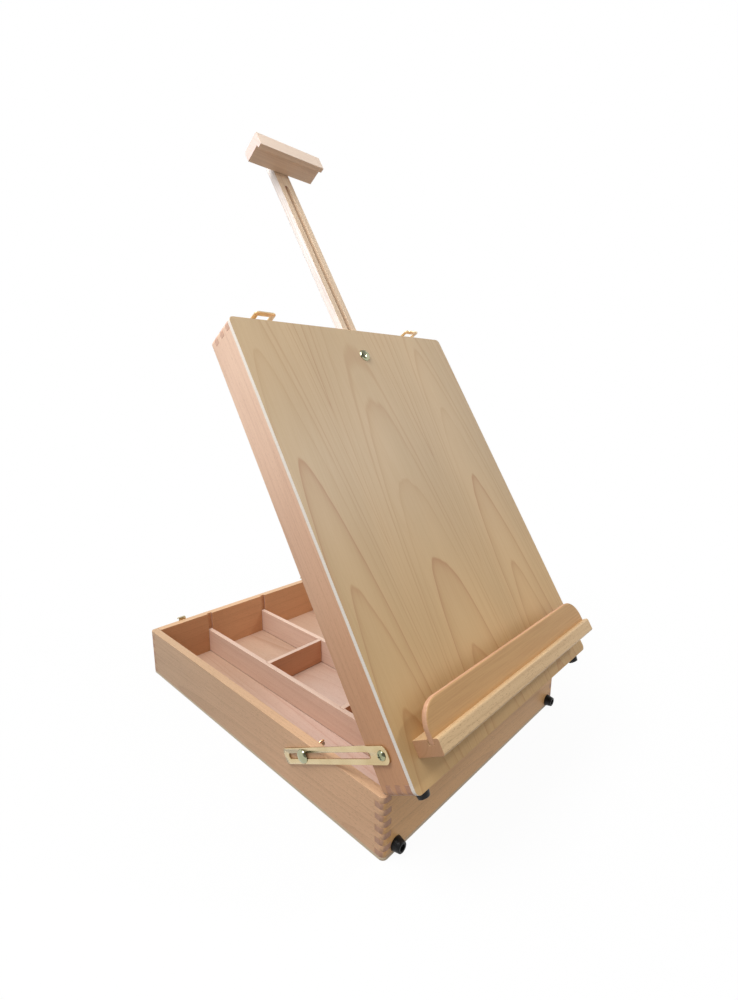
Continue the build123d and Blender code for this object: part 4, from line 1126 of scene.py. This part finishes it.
@dataclass
class Bolts:
    """The three dome-headed bolts, in millimetres: two at the stays, one through the board."""

    radius: float = 6.75
    rise: float = 3.3
    shank: float = 2.4
    rim: tuple[Pair, ...] = ((0.3, 0.0), (0.0, 0.12), (0.0, 0.45))
    dome_inset: float = 0.25
    dome_from: float = 0.55
    dome_steps: int = 12
    grip: float = 1.7
    mast_grip: float = 30.0
    left: Rank = Rank("stay_bolt_left", BASE, (-157.0,), ((-111.6, 46.1),), -X)
    right: Rank = Rank("stay_bolt_right", BASE, (157.0,), ((-111.6, 46.1),), X)
    board: Rank = Rank("mast_bolt", LID, (0.0,), ((387.7, 38.0),), Z)

    def profile(self, grip: float) -> list[Pair]:
        """Return the outline of a dome head with a thin turned rim, on a shank."""
        points = [(0.0, -grip), (self.shank, -grip), (self.shank, 0.0)]
        points += [(self.radius - inset, height) for inset, height in self.rim]
        flare, swell = self.radius - self.dome_inset, self.rise - self.dome_from
        for step in range(1, self.dome_steps):
            angle = math.radians(step * 90 / self.dome_steps)
            points.append((flare * cos(angle), self.dome_from + swell * sin(angle)))
        return points + [(0.0, self.rise)]

    def build(self) -> None:
        """Turn all three bolts and stand each for its node."""
        rows = ((self.left, self.grip), (self.right, self.grip), (self.board, self.mast_grip))
        for rank, grip in rows:
            place, way = rank.seats()[0]
            turn = way.to_track_quat("Z", "Y").to_matrix().to_4x4()
            mesh = lathe(self.profile(grip), Matrix.Translation(place) @ turn)
            smooth_below(mesh)
            finish_piece(mesh, rank.node + "_turned", METALS[Metal.BRIGHT], rank.node)


@dataclass(frozen=True)
class Lamp:
    """One square soft lamp, in metres and watts."""

    name: str
    place: Triple
    aim: Triple
    size: float
    power: float

    def hang(self) -> None:
        """Hang the lamp at its place, facing its aim."""
        light = bpy.data.lights.new(self.name, "AREA")
        light.size = self.size
        light.energy = self.power
        holder = added(self.name, light)
        holder.location = self.place
        away = Vector(self.place) - Vector(self.aim)
        holder.rotation_euler = away.to_track_quat("Z", "Y").to_euler()


@dataclass
class Studio:
    """White studio: floor, world, soft lamps and the photograph's camera."""

    camera_at: Triple = (-0.413383, -0.439544, 0.375603)
    camera_degrees: Triple = (77.8544, -0.1564, -46.3211)
    lens: float = 18.5037
    sensor: float = 36.0
    nearest: float = 0.01
    lamps: tuple[Lamp, ...] = (
        Lamp("skylight", (-0.5, 0.2, 1.4), (0.0, 0.0, 0.1), 0.7, 8.0),
        Lamp("near_left", (-0.6, 0.0, 0.95), (0.0, 0.0, 0.45), 0.35, 2.8),
        Lamp("softbox_right", (0.9, -0.9, 1.3), (0.0, -0.1, 0.25), 0.14, 5.0),
    )
    ambient: float = 0.56
    top_ramp: Ramp = (0.45, 0.85, 1.0, 0.4)
    dark_side: Triple = (-0.57, -0.8, 0.2)
    dark_ramp: Ramp = (0.3, 0.8, 1.0, 0.25)
    floor_half: float = 6.0
    floor_drop: float = 0.0002
    floor_lit: Colour = (0.25, 0.25, 0.25, 1.0)
    floor_seen: Colour = (0.9, 0.9, 0.9, 1.0)
    glow_ramp: Ramp = (0.2, 0.7, 0.95, 1.0)

    def build(self) -> None:
        """Set up the view transform, camera, world, floor and lamps."""
        bpy.context.scene.view_settings.view_transform = "Standard"
        self.camera()
        self.world()
        self.floor()
        for lamp in self.lamps:
            lamp.hang()

    def camera(self) -> None:
        """Stand the camera where the photograph was taken."""
        camera = added("camera", bpy.data.cameras.new("camera"))
        camera.location = self.camera_at
        camera.rotation_euler = Euler([math.radians(angle) for angle in self.camera_degrees])
        camera.data.sensor_fit = "VERTICAL"
        camera.data.sensor_height = self.sensor
        camera.data.lens = self.lens
        camera.data.clip_start = self.nearest
        bpy.context.scene.camera = camera

    def world(self) -> None:
        """Light softly from all round, with white seen behind the object and in its gloss."""
        world = bpy.data.worlds.new("studio")
        bpy.context.scene.world = world
        world.use_nodes = True
        graph = Graph(world.node_tree)
        back = world.node_tree.nodes["Background"]
        back.inputs["Color"].default_value = (1.0, 1.0, 1.0, 1.0)
        way = graph.node("ShaderNodeTexCoord").outputs["Generated"]
        feeds = {0: way, 1: self.dark_side}
        toward = graph.node("ShaderNodeVectorMath", feeds, operation="DOT_PRODUCT")
        gloss = graph.times(
            graph.ramp(graph.split(way)[2], *self.top_ramp),
            graph.ramp(toward.outputs["Value"], *self.dark_ramp),
        )
        direct = graph.node("ShaderNodeLightPath").outputs["Is Camera Ray"]
        feeds = {0: self.seen(graph), 2: self.ambient, 3: graph.math("MAXIMUM", gloss, direct)}
        graph.feed(back.inputs["Strength"], graph.out("ShaderNodeMix", feeds, data_type="FLOAT"))

    def seen(self, graph: Graph) -> Socket:
        """Return one for rays from the camera, from gloss or through glass, else zero."""
        rays = graph.node("ShaderNodeLightPath").outputs
        kinds = ("Is Camera Ray", "Is Glossy Ray", "Is Transmission Ray")
        return graph.math("MAXIMUM", *(rays[kind] for kind in kinds))

    def floor(self) -> None:
        """Lay a white floor that keeps a faint shadow."""
        half, drop = self.floor_half, -self.floor_drop
        turns = ((-1, -1), (1, -1), (1, 1), (-1, 1))
        corners = [(half * x, half * y, drop) for x, y in turns]
        mesh = bpy.data.meshes.new("floor")
        mesh.from_pydata(corners, [], [(0, 1, 2, 3)])
        finish = bpy.data.materials.new("white_floor")
        finish.use_nodes = True
        nodes = finish.node_tree.nodes
        nodes.remove(nodes["Principled BSDF"])
        graph = Graph(finish.node_tree)
        shade = graph.mix(self.seen(graph), self.floor_lit, self.floor_seen)
        spot = graph.node("ShaderNodeTexCoord").outputs["Object"]
        away = graph.node("ShaderNodeVectorMath", {0: spot}, operation="LENGTH")
        share = graph.ramp(away.outputs["Value"], *self.glow_ramp)
        feeds = {
            0: graph.times(self.seen(graph), share),
            1: graph.out("ShaderNodeBsdfDiffuse", {"Color": shade}),
            2: graph.out("ShaderNodeEmission"),
        }
        blend = graph.out("ShaderNodeMixShader", feeds)
        graph.feed(nodes["Material Output"].inputs["Surface"], blend)
        mesh.materials.append(finish)
        floor = added("floor", mesh)


def write_sizes() -> None:
    """Update the view layer, so that every piece stands where it was put."""
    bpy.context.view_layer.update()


def main() -> None:
    """Dress the easel, then light and frame it."""
    logging.basicConfig(level=logging.INFO, format="%(name)s %(message)s")
    BaseBox().build()
    LidAndMast().build()
    PlatedParts().build()
    RubberFeet().build()
    Screws().build()
    Bolts().build()
    Studio().build()
    write_sizes()


if __name__ == "__main__":
    main()
